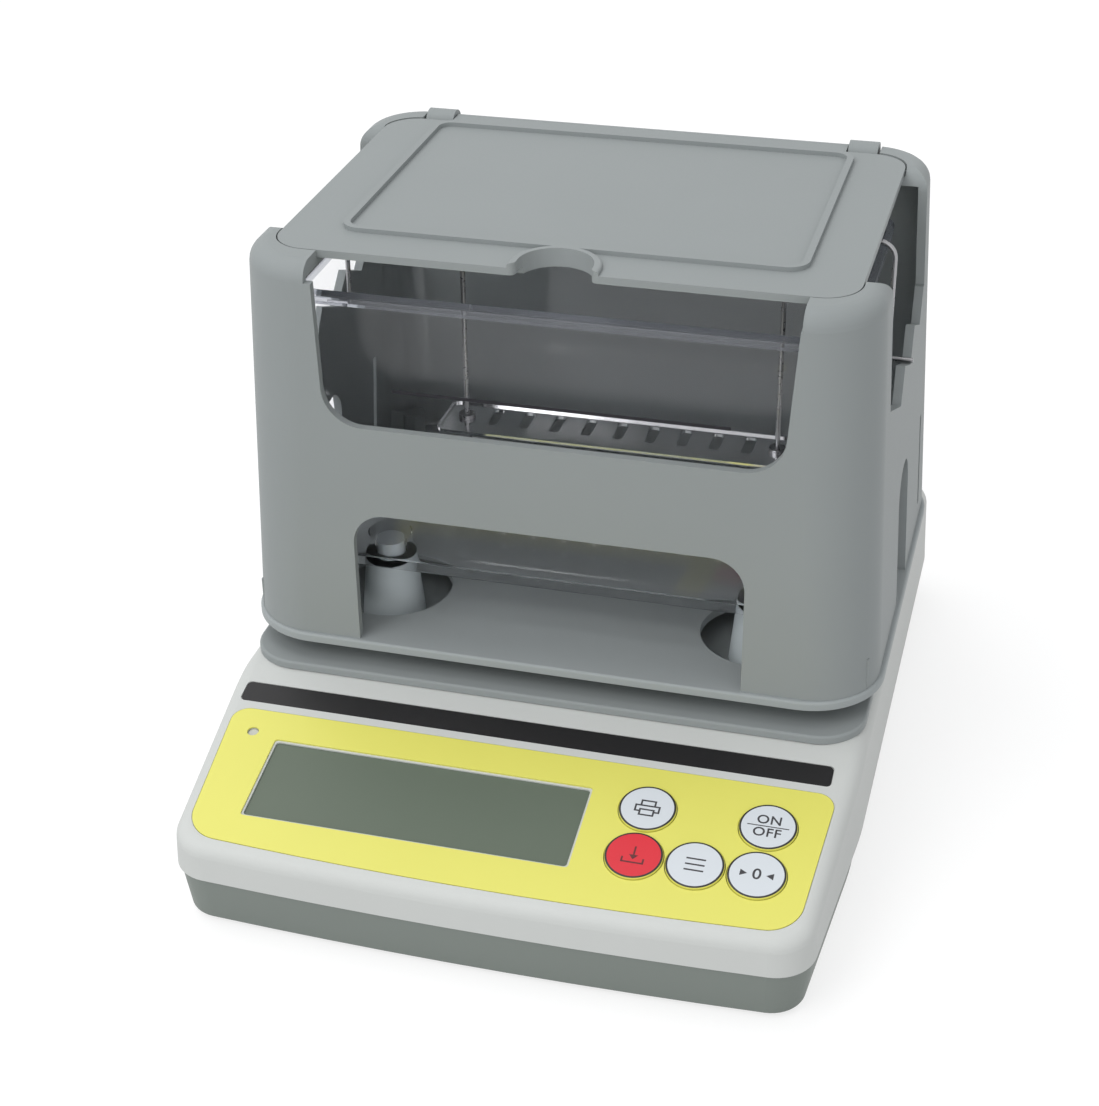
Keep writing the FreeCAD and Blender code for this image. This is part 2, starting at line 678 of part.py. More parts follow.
def upper_block(name, inset, rounded):
    """The upper shell's form: drafted sides, flat top and sloped panel."""
    body = doc.addObject("PartDesign::Body", name)
    points, arcs = case_outline(inset)
    outline = draw(sketch_on(body, name + "_outline", "XY_Plane", S.seam_z), points, arcs)
    pad = feature(body, "Pad", name + "_pad")
    pad.Profile = outline
    bind(pad, "Length", S.case_top_z - inset - S.seam_z)
    round_case_corners(body, name, inset)
    draft_sides(body, name, S.case_draft, S.seam_z)
    # everything above the panel plane is cut away
    ahead = S.case_front + 10
    top = S.case_top_z - inset
    fold_y = (S.case_top_z - S.fold_z) / PANEL_TAN - S.fold_distance
    reach = S.top_fold_round * tangent(S.panel_slope / 2)
    half_slope = S.panel_slope / 2
    wedge = draw(sketch_on(body, name + "_panel", "YZ_Plane", ZERO), [
        (-ahead, top - (ahead + fold_y) * PANEL_TAN),
        (fold_y - reach * cosine(S.panel_slope), top - reach * sine(S.panel_slope)),
        (fold_y + reach, top), (fold_y + reach, top + PAST_CASE), (-ahead, top + PAST_CASE)],
        {1: (fold_y + reach - S.top_fold_round * sine(half_slope),
             top - S.top_fold_round * (1 - cosine(half_slope)), S.top_fold_round)})
    pocket = feature(body, "Pocket", name + "_slope")
    pocket.Profile = wedge
    pocket.Midplane = True
    bind(pocket, "Length", S.case_width + PAST_CASE)
    if rounded:
        half = S.case_width.number / 2

        def top_edge(edge):
            across_the_top = edge.BoundBox.XLength > half and abs(edge.BoundBox.Center.y) < half
            return edge.BoundBox.ZMin > S.seam_z.number + 5 and not runs_along(edge, UP) \
                and not across_the_top

        round_edges(body, name + "_edges", S.case_round, top_edge)
    return body


def lower_block(name, inset, low, high, rounded):
    """The lower shell's form: sides that draw in towards the table."""
    body = doc.addObject("PartDesign::Body", name)
    points, arcs = case_outline(S.seam_reveal + inset)
    outline = draw(sketch_on(body, name + "_outline", "XY_Plane", high), points, arcs)
    pad = feature(body, "Pad", name + "_pad")
    pad.Profile = outline
    pad.Reversed = True
    bind(pad, "Length", high - low)
    round_case_corners(body, name, inset)
    draft_sides(body, name, -S.lower_draft, high)
    if rounded:
        def bottom_edge(edge):
            return edge.BoundBox.ZMax < low.number + 0.01

        round_edges(body, name + "_edge", S.lower_round, bottom_edge)
    return body




def panel_depth(y):
    """Height of the panel plane at y."""
    return S.fold_z + (y + S.fold_distance) * PANEL_TAN


def panel_sheet(name, low, high, grow):
    """The overlay's outline on the panel between two depths, grown all round."""
    top_half = S.overlay_top_width / 2 + grow
    low_half = S.overlay_bottom_width / 2 + grow
    bottom = -(S.overlay_bottom + grow)
    bow = (low_half * low_half + S.overlay_bow * S.overlay_bow) / (2 * S.overlay_bow)
    points = [(top_half, grow - S.overlay_top), (-top_half, grow - S.overlay_top),
              (-low_half, bottom), (low_half, bottom)]
    body = prism(name, "XY_Plane", points, low, high,
                 arcs={2: (ZERO, bottom - S.overlay_bow, bow)})
    middle = -(S.overlay_top.number + S.overlay_bottom.number) / 2
    round_edges(body, name + "_top_corners", S.overlay_top_corner + grow,
                lambda edge: runs_along(edge, UP) and edge.BoundBox.Center.y > middle)
    round_edges(body, name + "_bottom_corners", S.overlay_bottom_corner + grow,
                lambda edge: runs_along(edge, UP) and edge.BoundBox.Center.y < middle)
    return body


def window_prism(name, grow, low, high):
    points = rectangle(-S.window_left - grow, S.window_width - S.window_left + grow,
                       -S.window_top - S.window_height - grow, grow - S.window_top)
    return prism(name, "XY_Plane", points, low, high, corner=S.window_corner)


def strip_prism(name, grow, low, high):
    points = rectangle(-S.strip_left - grow, S.strip_width - S.strip_left + grow,
                       -S.strip_top - S.strip_height - grow, grow - S.strip_top)
    return prism(name, "XY_Plane", points, low, high, corner=S.strip_corner)


def key_cylinders(name, radius, low, high):
    return [cylinder(f"{name}_{index}", radius, high - low, *key_place(*place_in_grid), low)
            for index, place_in_grid in enumerate(KEYS.values())]


LENS_TOP = -S.window_lip
LENS_BOTTOM = LENS_TOP - S.lens_thickness
DISPLAY_BOTTOM = LENS_BOTTOM - S.display_thickness
GUIDE_BOTTOM = -S.key_well - S.guide_depth
CAP_BOTTOM = S.key_proud - S.key_cap
STEM_BOTTOM = CAP_BOTTOM - S.key_stem
PLUNGER_TOP = STEM_BOTTOM - S.key_travel - S.running_gap
SWITCH_TOP = PLUNGER_TOP - S.plunger_height
KEY_BOARD_TOP = SWITCH_TOP - S.switch_height
KEY_BOARD_BOTTOM = KEY_BOARD_TOP - S.board_thickness
KEYS_LEFT = S.key_column - S.key_radius
KEYS_RIGHT = S.key_column + 2 * S.key_pitch + S.key_radius
KEYS_BACK = S.key_radius - S.key_row
KEYS_FRONT = -(S.key_row + S.key_row_pitch + S.key_radius)
# the key board's screws stand on a line between the two rows' outer keys
KEY_BOARD_SCREWS = [(KEYS_LEFT - S.board_inset, KEYS_BACK), (KEYS_LEFT - S.board_inset, KEYS_FRONT),
                    (S.key_column + S.key_pitch, S.standoff_radius - S.key_row)]
SOCKET_LOW_Z = S.main_z + S.board_thickness
SOCKET_FRONT = S.case_back - S.socket_sink - S.socket_length


def socket_box(name, left, width, height, grow, back):
    """Box of the power inlet or the data port, standing on the main board."""
    return box(name, (-left - width / 2 - grow, SOCKET_FRONT, SOCKET_LOW_Z - grow),
               (-left + width / 2 + grow, back, SOCKET_LOW_Z + height + grow))


def make_upper_shell():
    outer = upper_block("upper_outer", ZERO, True)
    inner = upper_block("upper_inner", S.case_wall, False)
    # wall, then what is moulded on its inside
    shell = cut("upper_wall", outer, [inner])
    pillars = [cylinder(f"front_pillar_{i}", S.pillar_radius,
                        panel_depth(y) - S.case_wall / 2 - S.seam_z, x, y, S.seam_z)
               for i, (x, y) in enumerate(FRONT_PILLARS)]
    pillars += [cylinder(f"back_pillar_{i}", S.pillar_radius,
                         S.case_top_z - S.case_wall / 2 - S.seam_z, x, y, S.seam_z)
                for i, (x, y) in enumerate(BACK_PILLARS)]
    guide = prism("key_guide", "XY_Plane",
                  rectangle(KEYS_LEFT, KEYS_RIGHT, KEYS_FRONT, KEYS_BACK),
                  GUIDE_BOTTOM, -S.case_wall / 2)
    mounts = [cylinder(f"key_board_mount_{i}", S.standoff_radius,
                       -S.case_wall / 2 - KEY_BOARD_TOP, x, y, KEY_BOARD_TOP)
              for i, (x, y) in enumerate(KEY_BOARD_SCREWS)]
    panel_side = on_panel(fuse("panel_inside", [guide] + mounts))
    solid = fuse("upper_solid", [shell, panel_side] + pillars)
    # what is cut from the panel
    panel_cuts = [
        panel_sheet("overlay_seat", -S.overlay_recess, PAST_PANEL, S.panel_gap),
        strip_prism("strip_seat", S.panel_gap, -S.strip_recess, PAST_PANEL),
        window_prism("window_opening", 0, -PAST_PANEL, PAST_PANEL),
        window_prism("lens_seat", S.lens_overlap + S.panel_gap, -LENS_SEAT_DEPTH, LENS_TOP),
        cylinder("led_hole", S.led_radius + S.panel_gap, 2 * PAST_PANEL,
                 -S.led_left, -S.led_down, -PAST_PANEL),
    ]
    panel_cuts += key_cylinders("key_well", S.key_radius + S.key_gap, -S.key_well, ZERO + PAST_PANEL)
    panel_cuts += key_cylinders("stem_hole", S.key_stem_radius + S.running_gap,
                                GUIDE_BOTTOM - PAST_PANEL, -S.key_well + 1)
    panel_cuts += [cylinder(f"key_board_pilot_{i}", SCREW_HOLE, S.screw_reach / 2 + 0.1,
                            x, y, KEY_BOARD_TOP - 0.1)
                   for i, (x, y) in enumerate(KEY_BOARD_SCREWS)]
    tools = [on_panel(fuse("panel_cuts", panel_cuts))]
    # what is cut from the top, the back and the pillars
    tools.append(cylinder("hub_hole", S.hub_hole_radius, 2 * S.case_wall, ZERO, S.hub_back,
                          S.case_top_z - 2 * S.case_wall + 1))
    tools += bores("post_screw_hole", SCREW_HOLE, POSTS.values(),
                   S.case_top_z - 2 * S.case_wall, S.case_top_z + 1)
    tools += bores("pillar_pilot", SCREW_HOLE, PILLARS, S.seam_z - 1,
                   S.seam_z + S.screw_reach + 1)
    tools.append(socket_box("jack_opening", S.jack_left, S.jack_width, S.jack_height,
                            S.panel_gap, S.case_back + 5))
    tools.append(socket_box("port_opening", S.port_left, S.port_width, S.port_height,
                            S.panel_gap, S.case_back + 5))
    node(cut("upper_shell", solid, tools), "upper_shell")


MAIN_BOARD = (-S.main_left, S.main_width - S.main_left, S.main_back - S.main_length, S.main_back)
MAIN_SCREWS = [(MAIN_BOARD[0] + S.board_inset, MAIN_BOARD[2] + S.board_inset),
               (MAIN_BOARD[1] - S.board_inset, MAIN_BOARD[2] + S.board_inset)]
CELL_BOTTOM = CASE_FLOOR_Z + S.block_height
CELL_TOP = CELL_BOTTOM + S.cell_height
CELL_FRONT = S.cell_back - S.cell_length
FIXED_SCREWS = [(ZERO, S.cell_back - S.cell_screw_inset),
                (ZERO, S.cell_back - S.cell_screw_inset - S.cell_screw_pitch)]
HUB_BOLTS = [(ZERO, S.hub_back - S.cell_screw_pitch / 2), (ZERO, S.hub_back + S.cell_screw_pitch / 2)]


def make_lower_shell():
    outer = lower_block("lower_outer", ZERO, S.foot_height, S.seam_z, True)
    inner = lower_block("lower_inner", S.case_wall, CASE_FLOOR_Z, S.seam_z + 1, False)
    shell = cut("lower_wall", outer, [inner])
    inside = bores("lower_pillar", S.pillar_radius + S.seam_reveal, PILLARS,
                   S.foot_height + S.case_wall / 2, S.seam_z)
    inside += bores("main_standoff", S.standoff_radius, MAIN_SCREWS,
                    S.foot_height + S.case_wall / 2, S.main_z)
    inside.append(box("main_rest", (MAIN_BOARD[0] + S.pillar_radius * 2, S.main_back - S.case_wall,
                                    S.foot_height + S.case_wall / 2),
                      (MAIN_BOARD[1], S.main_back, S.main_z)))
    solid = fuse("lower_solid", [shell] + inside)
    tools = bores("case_screw_hole", SCREW_HOLE, PILLARS, ZERO, S.seam_z + 1)
    tools += bores("case_screw_sink", S.screw_head_radius + S.panel_gap, PILLARS, ZERO,
                   S.foot_height + S.case_wall + S.screw_head)
    tools += bores("main_pilot", SCREW_HOLE, MAIN_SCREWS, CASE_FLOOR_Z + 1, S.main_z + 1)
    tools += bores("foot_hole", S.foot_plug_radius + S.running_gap, FEET.values(), ZERO,
                   CASE_FLOOR_Z + 1)
    node(cut("lower_shell", solid, tools), "lower_shell")


def make_feet():
    for corner, (x, y) in FEET.items():
        pad = cone(f"foot_{corner}_pad", S.foot_radius - S.foot_taper, S.foot_radius,
                   S.foot_height, x, y, ZERO)
        plug = cylinder(f"foot_{corner}_plug", S.foot_plug_radius,
                        S.case_wall + S.foot_height, x, y, ZERO)
        node(fuse(f"foot_{corner}", [pad, plug]), f"foot_{corner}")


def make_case_screws():
    head_z = S.foot_height + S.case_wall + S.screw_head
    reach = S.seam_z - head_z + S.screw_reach
    node(group("case_screws", [screw(f"case_screw_{i}", x, y, head_z, reach)
                               for i, (x, y) in enumerate(PILLARS)]), "case_screws")


# ---------------------------------------------------------------------------- panel
def make_panel_pieces():
    sheet_blank = panel_sheet("overlay_blank", -S.overlay_recess,
                              S.overlay_sheet - S.overlay_recess, 0)
    above = S.overlay_sheet + 1
    holes = [window_prism("overlay_window", S.window_rim, -2, above),
             cylinder("overlay_led_hole", S.led_radius + S.panel_gap, 2 * PAST_PANEL,
                      -S.led_left, -S.led_down, -PAST_PANEL)]
    holes += key_cylinders("overlay_key_hole", S.key_radius + S.key_gap, ZERO - 2, above)
    node(on_panel(cut("overlay_panel", sheet_blank, holes)), "overlay_panel")

    strip = strip_prism("label_strip", 0, -S.strip_recess, S.strip_sheet - S.strip_recess)
    node(on_panel(strip), "label_strip")

    lens = window_prism("display_lens", S.lens_overlap, LENS_BOTTOM, LENS_TOP)
    node(on_panel(lens), "display_lens")
    display = window_prism("display_module", S.lens_overlap, DISPLAY_BOTTOM, LENS_BOTTOM)
    node(on_panel(display), "display_module")

    lamp_height = S.led_radius * 2
    lamp = cylinder("stable_lamp", S.led_radius, lamp_height, -S.led_left, -S.led_down,
                    -S.led_sink - lamp_height)
    collar = cylinder("stable_lamp_collar", S.led_radius + 2 * S.panel_gap + S.window_rim,
                      lamp_height / 2, -S.led_left, -S.led_down,
                      -S.case_wall - S.running_gap - lamp_height / 2)
    node(on_panel(fuse("stable_light", [lamp, collar])), "stable_light")


def make_keys():
    for name, grid in KEYS.items():
        x, y = key_place(*grid)
        body = doc.addObject("PartDesign::Body", name + "_body")
        # half section of the key, turned round its middle
        profile = draw(sketch_on(body, name + "_profile", "XZ_Plane", ZERO), [
            (ZERO, STEM_BOTTOM), (S.key_stem_radius, STEM_BOTTOM),
            (S.key_stem_radius, CAP_BOTTOM), (S.key_radius, CAP_BOTTOM),
            (S.key_radius, ZERO + S.key_proud), (ZERO, ZERO + S.key_proud)])
        turned = feature(body, "Revolution", name + "_turned")
        turned.Profile = profile
        turned.ReferenceAxis = (profile, ["V_Axis"])
        turned.Angle = 360
        top = S.key_proud.number
        round_edges(body, name + "_edge", S.key_proud / 2,
                    lambda edge: edge.BoundBox.ZMin > top - 0.01 and edge.Length > 1)
        place(body, x, y, ZERO)
        node(on_panel(group(name + "_place", [body])), name)


def make_key_board():
    low = (KEYS_LEFT - 2 * S.board_inset, KEYS_FRONT - S.board_inset, KEY_BOARD_BOTTOM)
    high = (KEYS_RIGHT, KEYS_BACK + S.board_inset, KEY_BOARD_TOP)
    holes = [cylinder(f"key_board_hole_{i}", SCREW_HOLE, S.board_thickness + 2, x, y,
                      KEY_BOARD_BOTTOM - 1) for i, (x, y) in enumerate(KEY_BOARD_SCREWS)]
    node(on_panel(cut("key_board", box("key_board_blank", low, high), holes)), "key_board")

    switches = []
    for name, grid in KEYS.items():
        x, y = key_place(*grid)
        half = S.switch_side / 2
        case = box(name + "_switch_case", (x - half, y - half, KEY_BOARD_TOP),
                   (x + half, y + half, SWITCH_TOP))
        plunger = cylinder(name + "_plunger", S.plunger_radius, S.plunger_height + 1, x, y,
                           SWITCH_TOP - 1)
        switches.append(fuse(name + "_switch", [case, plunger]))
    node(on_panel(group("key_switches", switches)), "key_switches")

    fixings = [screw(f"key_board_screw_{i}", x, y, KEY_BOARD_BOTTOM,
                     S.board_thickness + S.screw_reach / 2)
               for i, (x, y) in enumerate(KEY_BOARD_SCREWS)]
    node(on_panel(group("key_board_screws", fixings)), "key_board_screws")


# ---------------------------------------------------------------------------- inside the base
def make_main_board():
    left, right, front, back = MAIN_BOARD
    top = S.main_z + S.board_thickness
    blank = box("main_board_blank", (left, front, S.main_z), (right, back, top))
    holes = bores("main_board_hole", SCREW_HOLE, MAIN_SCREWS, S.main_z - 1, top + 1)
    corner = box("main_board_corner", (left - 1, PILLAR_BACK_Y - S.pillar_radius * 2, S.main_z - 1),
                 (left + S.pillar_radius * 2, back + 1, top + 1))
    node(cut("main_board", blank, holes + [corner]), "main_board")
    node(group("main_board_screws",
               [screw(f"main_board_screw_{i}", x, y, top, S.board_thickness + S.screw_reach / 2,
                      up=False) for i, (x, y) in enumerate(MAIN_SCREWS)]), "main_board_screws")

    rear = SOCKET_FRONT + S.socket_length
    jack = socket_box("jack_block", S.jack_left, S.jack_width, S.jack_height, ZERO, rear)
    jack_z = SOCKET_LOW_Z + S.jack_height / 2
    mouth = cylinder("jack_mouth", S.jack_bore, S.socket_depth + 1, -S.jack_left,
                     rear - S.socket_depth, jack_z, "Y")
    needle = cylinder("jack_needle", S.jack_needle, S.socket_depth, -S.jack_left,
                      rear - S.socket_depth - 0.5, jack_z, "Y")
    node(fuse("power_inlet", [cut("jack_shell", jack, [mouth]), needle]), "power_inlet")

    port = socket_box("port_block", S.port_left, S.port_width, S.port_height, ZERO, rear)
    port_z = SOCKET_LOW_Z + S.port_height / 2
    half, tall = S.port_mouth_width / 2, S.port_mouth_height / 2
    slope = S.port_mouth_height / 8
    mouth = prism("port_mouth", "XZ_Plane",
                  [(-S.port_left - half + slope, port_z - tall),
                   (-S.port_left + half - slope, port_z - tall),
                   (-S.port_left + half, port_z + tall), (-S.port_left - half, port_z + tall)],
                  rear - S.socket_depth, rear + 1)
    inner = S.port_mouth_height / 6
    tongue = prism("port_tongue", "XZ_Plane",
                   [(-S.port_left - half + slope + inner, port_z - tall + inner),
                    (-S.port_left + half - slope - inner, port_z - tall + inner),
                    (-S.port_left + half - inner, port_z + tall - inner),
                    (-S.port_left - half + inner, port_z + tall - inner)],
                   rear - S.socket_depth - 0.5, rear - inner)
    node(fuse("data_port", [cut("port_shell", port, [mouth]), tongue]), "data_port")


def make_load_cell():
    half = S.cell_width / 2
    bar = box("cell_bar", (-half, CELL_FRONT, CELL_BOTTOM), (half, S.cell_back, CELL_TOP))
    middle_y = S.cell_back - S.cell_length / 2
    middle_z = CELL_BOTTOM + S.cell_height / 2
    flexures = [cylinder(f"cell_bore_{side}", S.cell_bore, S.cell_width + 2, -half - 1,
                         middle_y + side * S.cell_bore_pitch / 2, middle_z, "X")
                for side in (-1, 1)]
    slot = box("cell_slot", (-half - 1, middle_y - S.cell_bore_pitch / 2, middle_z - S.cell_bore / 2),
               (half + 1, middle_y + S.cell_bore_pitch / 2, middle_z + S.cell_bore / 2))
    holes = bores("cell_hole", SCREW_HOLE, FIXED_SCREWS + HUB_BOLTS, CELL_BOTTOM - 1, CELL_TOP + 1)
    node(cut("load_cell", bar, flexures + [slot] + holes), "load_cell")

    block_half = S.block_width / 2
    block = box("cell_block_blank", (-block_half, S.cell_back - S.block_length, CASE_FLOOR_Z),
                (block_half, S.cell_back, CELL_BOTTOM))
    pilots = bores("cell_block_pilot", SCREW_HOLE, FIXED_SCREWS, CASE_FLOOR_Z + 1, CELL_BOTTOM + 1)
    node(cut("load_cell_block", block, pilots), "load_cell_block")
    fixed_reach = S.cell_height + S.block_height - 2
    node(group("load_cell_screws",
               [screw(f"load_cell_screw_{i}", x, y, CELL_TOP, fixed_reach, up=False)
                for i, (x, y) in enumerate(FIXED_SCREWS)]), "load_cell_screws")

    stops = []
    for side in (-1, 1):
        x = side * (half - S.stop_radius)
        stem = cylinder(f"stop_stem_{side + 1}", S.stop_radius,
                        CELL_BOTTOM - S.stop_gap - CASE_FLOOR_Z, x, S.hub_back, CASE_FLOOR_Z)
        collar = cylinder(f"stop_collar_{side + 1}", S.stop_radius * 1.5, S.case_wall, x,
                          S.hub_back, CASE_FLOOR_Z)
        stops.append(fuse(f"stop_{side + 1}", [stem, collar]))
    node(group("overload_stops", stops), "overload_stops")


# ---------------------------------------------------------------------------- platform and posts
PLATFORM_TOP = S.case_top_z + S.platform_plate


def make_platform():
    half = S.case_width / 2 - S.platform_side_inset
    plate = prism("platform_blank", "XY_Plane",
                  rectangle(-half, half, -S.platform_front, S.platform_back),
                  S.case_top_z, PLATFORM_TOP, corner=S.platform_corner)
    top = PLATFORM_TOP.number
    round_edges(plate, "platform_edge", S.tray_round,
                lambda edge: edge.BoundBox.ZMin > top - 0.01)
    holes = bores("platform_hole", SCREW_HOLE, POSTS.values(), S.case_top_z - 1, PLATFORM_TOP + 1)
    holes.append(cylinder("platform_hub_hole", S.hub_hole_radius, S.platform_plate + 2, ZERO,
                          S.hub_back, S.case_top_z - 1))
    node(cut("tank_platform", plate, holes), "tank_platform")
    reach = S.case_wall + S.platform_plate + S.screw_reach
    for corner, (x, y) in POSTS.items():
        stem = cone(f"post_{corner}_cone", S.post_foot_radius, S.post_head_radius,
                    S.post_top_z - PLATFORM_TOP, x, y, PLATFORM_TOP)
        pin = cylinder(f"post_{corner}_pin", S.pin_radius, S.pin_height + 1, x, y,
                       S.post_top_z - 1)
        pilot = cylinder(f"post_{corner}_pilot", SCREW_HOLE, S.screw_reach + 2, x, y,
                         PLATFORM_TOP - 1)
        node(cut(f"tank_post_{corner}", fuse(f"post_{corner}_blank", [stem, pin]), [pilot]),
             f"tank_post_{corner}")
    node(group("post_screws", [screw(f"post_screw_{i}", x, y, S.case_top_z - S.case_wall, reach)
                               for i, (x, y) in enumerate(POSTS.values())]), "post_screws")


# ---------------------------------------------------------------------------- stage
TRAY_TOP = S.tray_z + S.tray_plate
FLANGE_BOTTOM = S.tray_z - S.hub_flange
HUB_SCREWS = [(dx * S.hub_screw_circle, S.hub_back + dy * S.hub_screw_circle)
              for dx, dy in ((-1, 0), (1, 0), (0, -1), (0, 1))]
PILOT_IN_TRAY = S.tray_plate - S.running_gap * 8


def make_tray():
    half = S.housing_half + S.tray_rim
    plate = prism("tray_blank", "XY_Plane",
                  rectangle(-half, half, -S.housing_front - S.tray_rim,
                            S.housing_back + S.tray_rim),
                  S.tray_z, TRAY_TOP, corner=S.tray_corner)
    top = TRAY_TOP.number
    round_edges(plate, "tray_edge", S.tray_round, lambda edge: edge.BoundBox.ZMin > top - 0.01)
    holes = bores("tray_post_hole", S.tray_hole_radius, POSTS.values(), S.tray_z - 1, TRAY_TOP + 1)
    holes += bores("tray_boss_hole", SCREW_HOLE, BOSSES, S.tray_z - 1, TRAY_TOP + 1)
    holes += bores("tray_hub_pilot", SCREW_HOLE, HUB_SCREWS, S.tray_z - 1, S.tray_z + PILOT_IN_TRAY)
    node(cut("stage_tray", plate, holes), "stage_tray")

    stem = cylinder("hub_stem", S.hub_radius, S.tray_z - CELL_TOP, ZERO, S.hub_back, CELL_TOP)
    flange = cylinder("hub_flange", S.hub_flange_radius, S.hub_flange, ZERO, S.hub_back,
                      FLANGE_BOTTOM)
    holes = bores("hub_screw_hole", SCREW_HOLE, HUB_SCREWS, FLANGE_BOTTOM - 1, S.tray_z + 1)
    holes += bores("hub_bolt_pilot", SCREW_HOLE, HUB_BOLTS, CELL_TOP - 1, CELL_TOP + S.screw_reach + 1)
    node(cut("stage_hub", fuse("hub_blank", [stem, flange]), holes), "stage_hub")
    node(group("hub_screws", [screw(f"hub_screw_{i}", x, y, FLANGE_BOTTOM,
                                    S.hub_flange + PILOT_IN_TRAY)
                              for i, (x, y) in enumerate(HUB_SCREWS)]), "hub_screws")
    node(group("hub_bolts", [screw(f"hub_bolt_{i}", x, y, CELL_BOTTOM,
                                   S.cell_height + S.screw_reach)
                             for i, (x, y) in enumerate(HUB_BOLTS)]), "hub_bolts")
    node(group("housing_screws", [screw(f"housing_screw_{i}", x, y, S.tray_z,
                                        S.tray_plate + S.boss_height / 2)
                                  for i, (x, y) in enumerate(BOSSES)]), "housing_screws")


LID_BOTTOM = S.housing_top_z - S.lid_plate
HINGE_Z = S.housing_top_z - S.hinge_drop
EAR_OUTER = S.ear_inner + S.ear_width
BARREL_HALF = S.ear_inner - S.lid_gap


def housing_outlines(inset):
    low = rectangle(-S.housing_half + inset, S.housing_half - inset,
                    -S.housing_front + inset, S.housing_back - inset)
    high = rectangle(-S.housing_half_top + inset, S.housing_half_top - inset,
                     -S.housing_front + inset, S.housing_back_top - inset)
    return low, high


def housing_block(name, inset, top):
    """Drafted block of the housing with rounded upright corners."""
    low_outline, high_outline = housing_outlines(inset)
    body = tapered(name, low_outline, high_outline, TRAY_TOP, top)
    round_edges(body, name + "_front_corners", S.housing_corner - inset,
                lambda edge: runs_along(edge, UP) and edge.BoundBox.Center.y < 0)
    round_edges(body, name + "_back_corners", S.housing_back_corner - inset,
                lambda edge: runs_along(edge, UP) and edge.BoundBox.Center.y > 0)
    return body


def side_opening(name):
    """Tool for both side openings: two pillars, and three V notches that step up to the back."""
    top = S.housing_top_z
    slope = (S.notch_rise - S.notch_step) / (S.notch_pitch - S.notch_run)
    front_y = ZERO - S.side_front
    points = []
    for place_number in (-1, 0, 1):
        y = S.hang_back + place_number * S.notch_pitch
        z = S.notch_z + place_number * S.notch_step
        if not points:
            points.append((front_y, z + (y - front_y) * slope))
        points += [(y, z), (y + S.notch_run, z + S.notch_rise)]
    crest_z = points[-1][1]
    radius = S.pillar_round
    bulge = radius * (1 - math.sqrt(0.5))
    points += [(ZERO + S.side_back, crest_z), (ZERO + S.side_back, top - radius),
               (S.side_back + radius, ZERO + top), (S.side_back + radius, top + 10),
               (front_y - radius, top + 10), (front_y - radius, ZERO + top),
               (front_y, top - radius)]
    arcs = {len(points) - 6: (S.side_back + bulge, top - bulge, radius),
            len(points) - 2: (front_y - bulge, top - bulge, radius)}
    reach = S.housing_half + 10
    return prism(name, "YZ_Plane", points, -reach, reach, arcs=arcs)


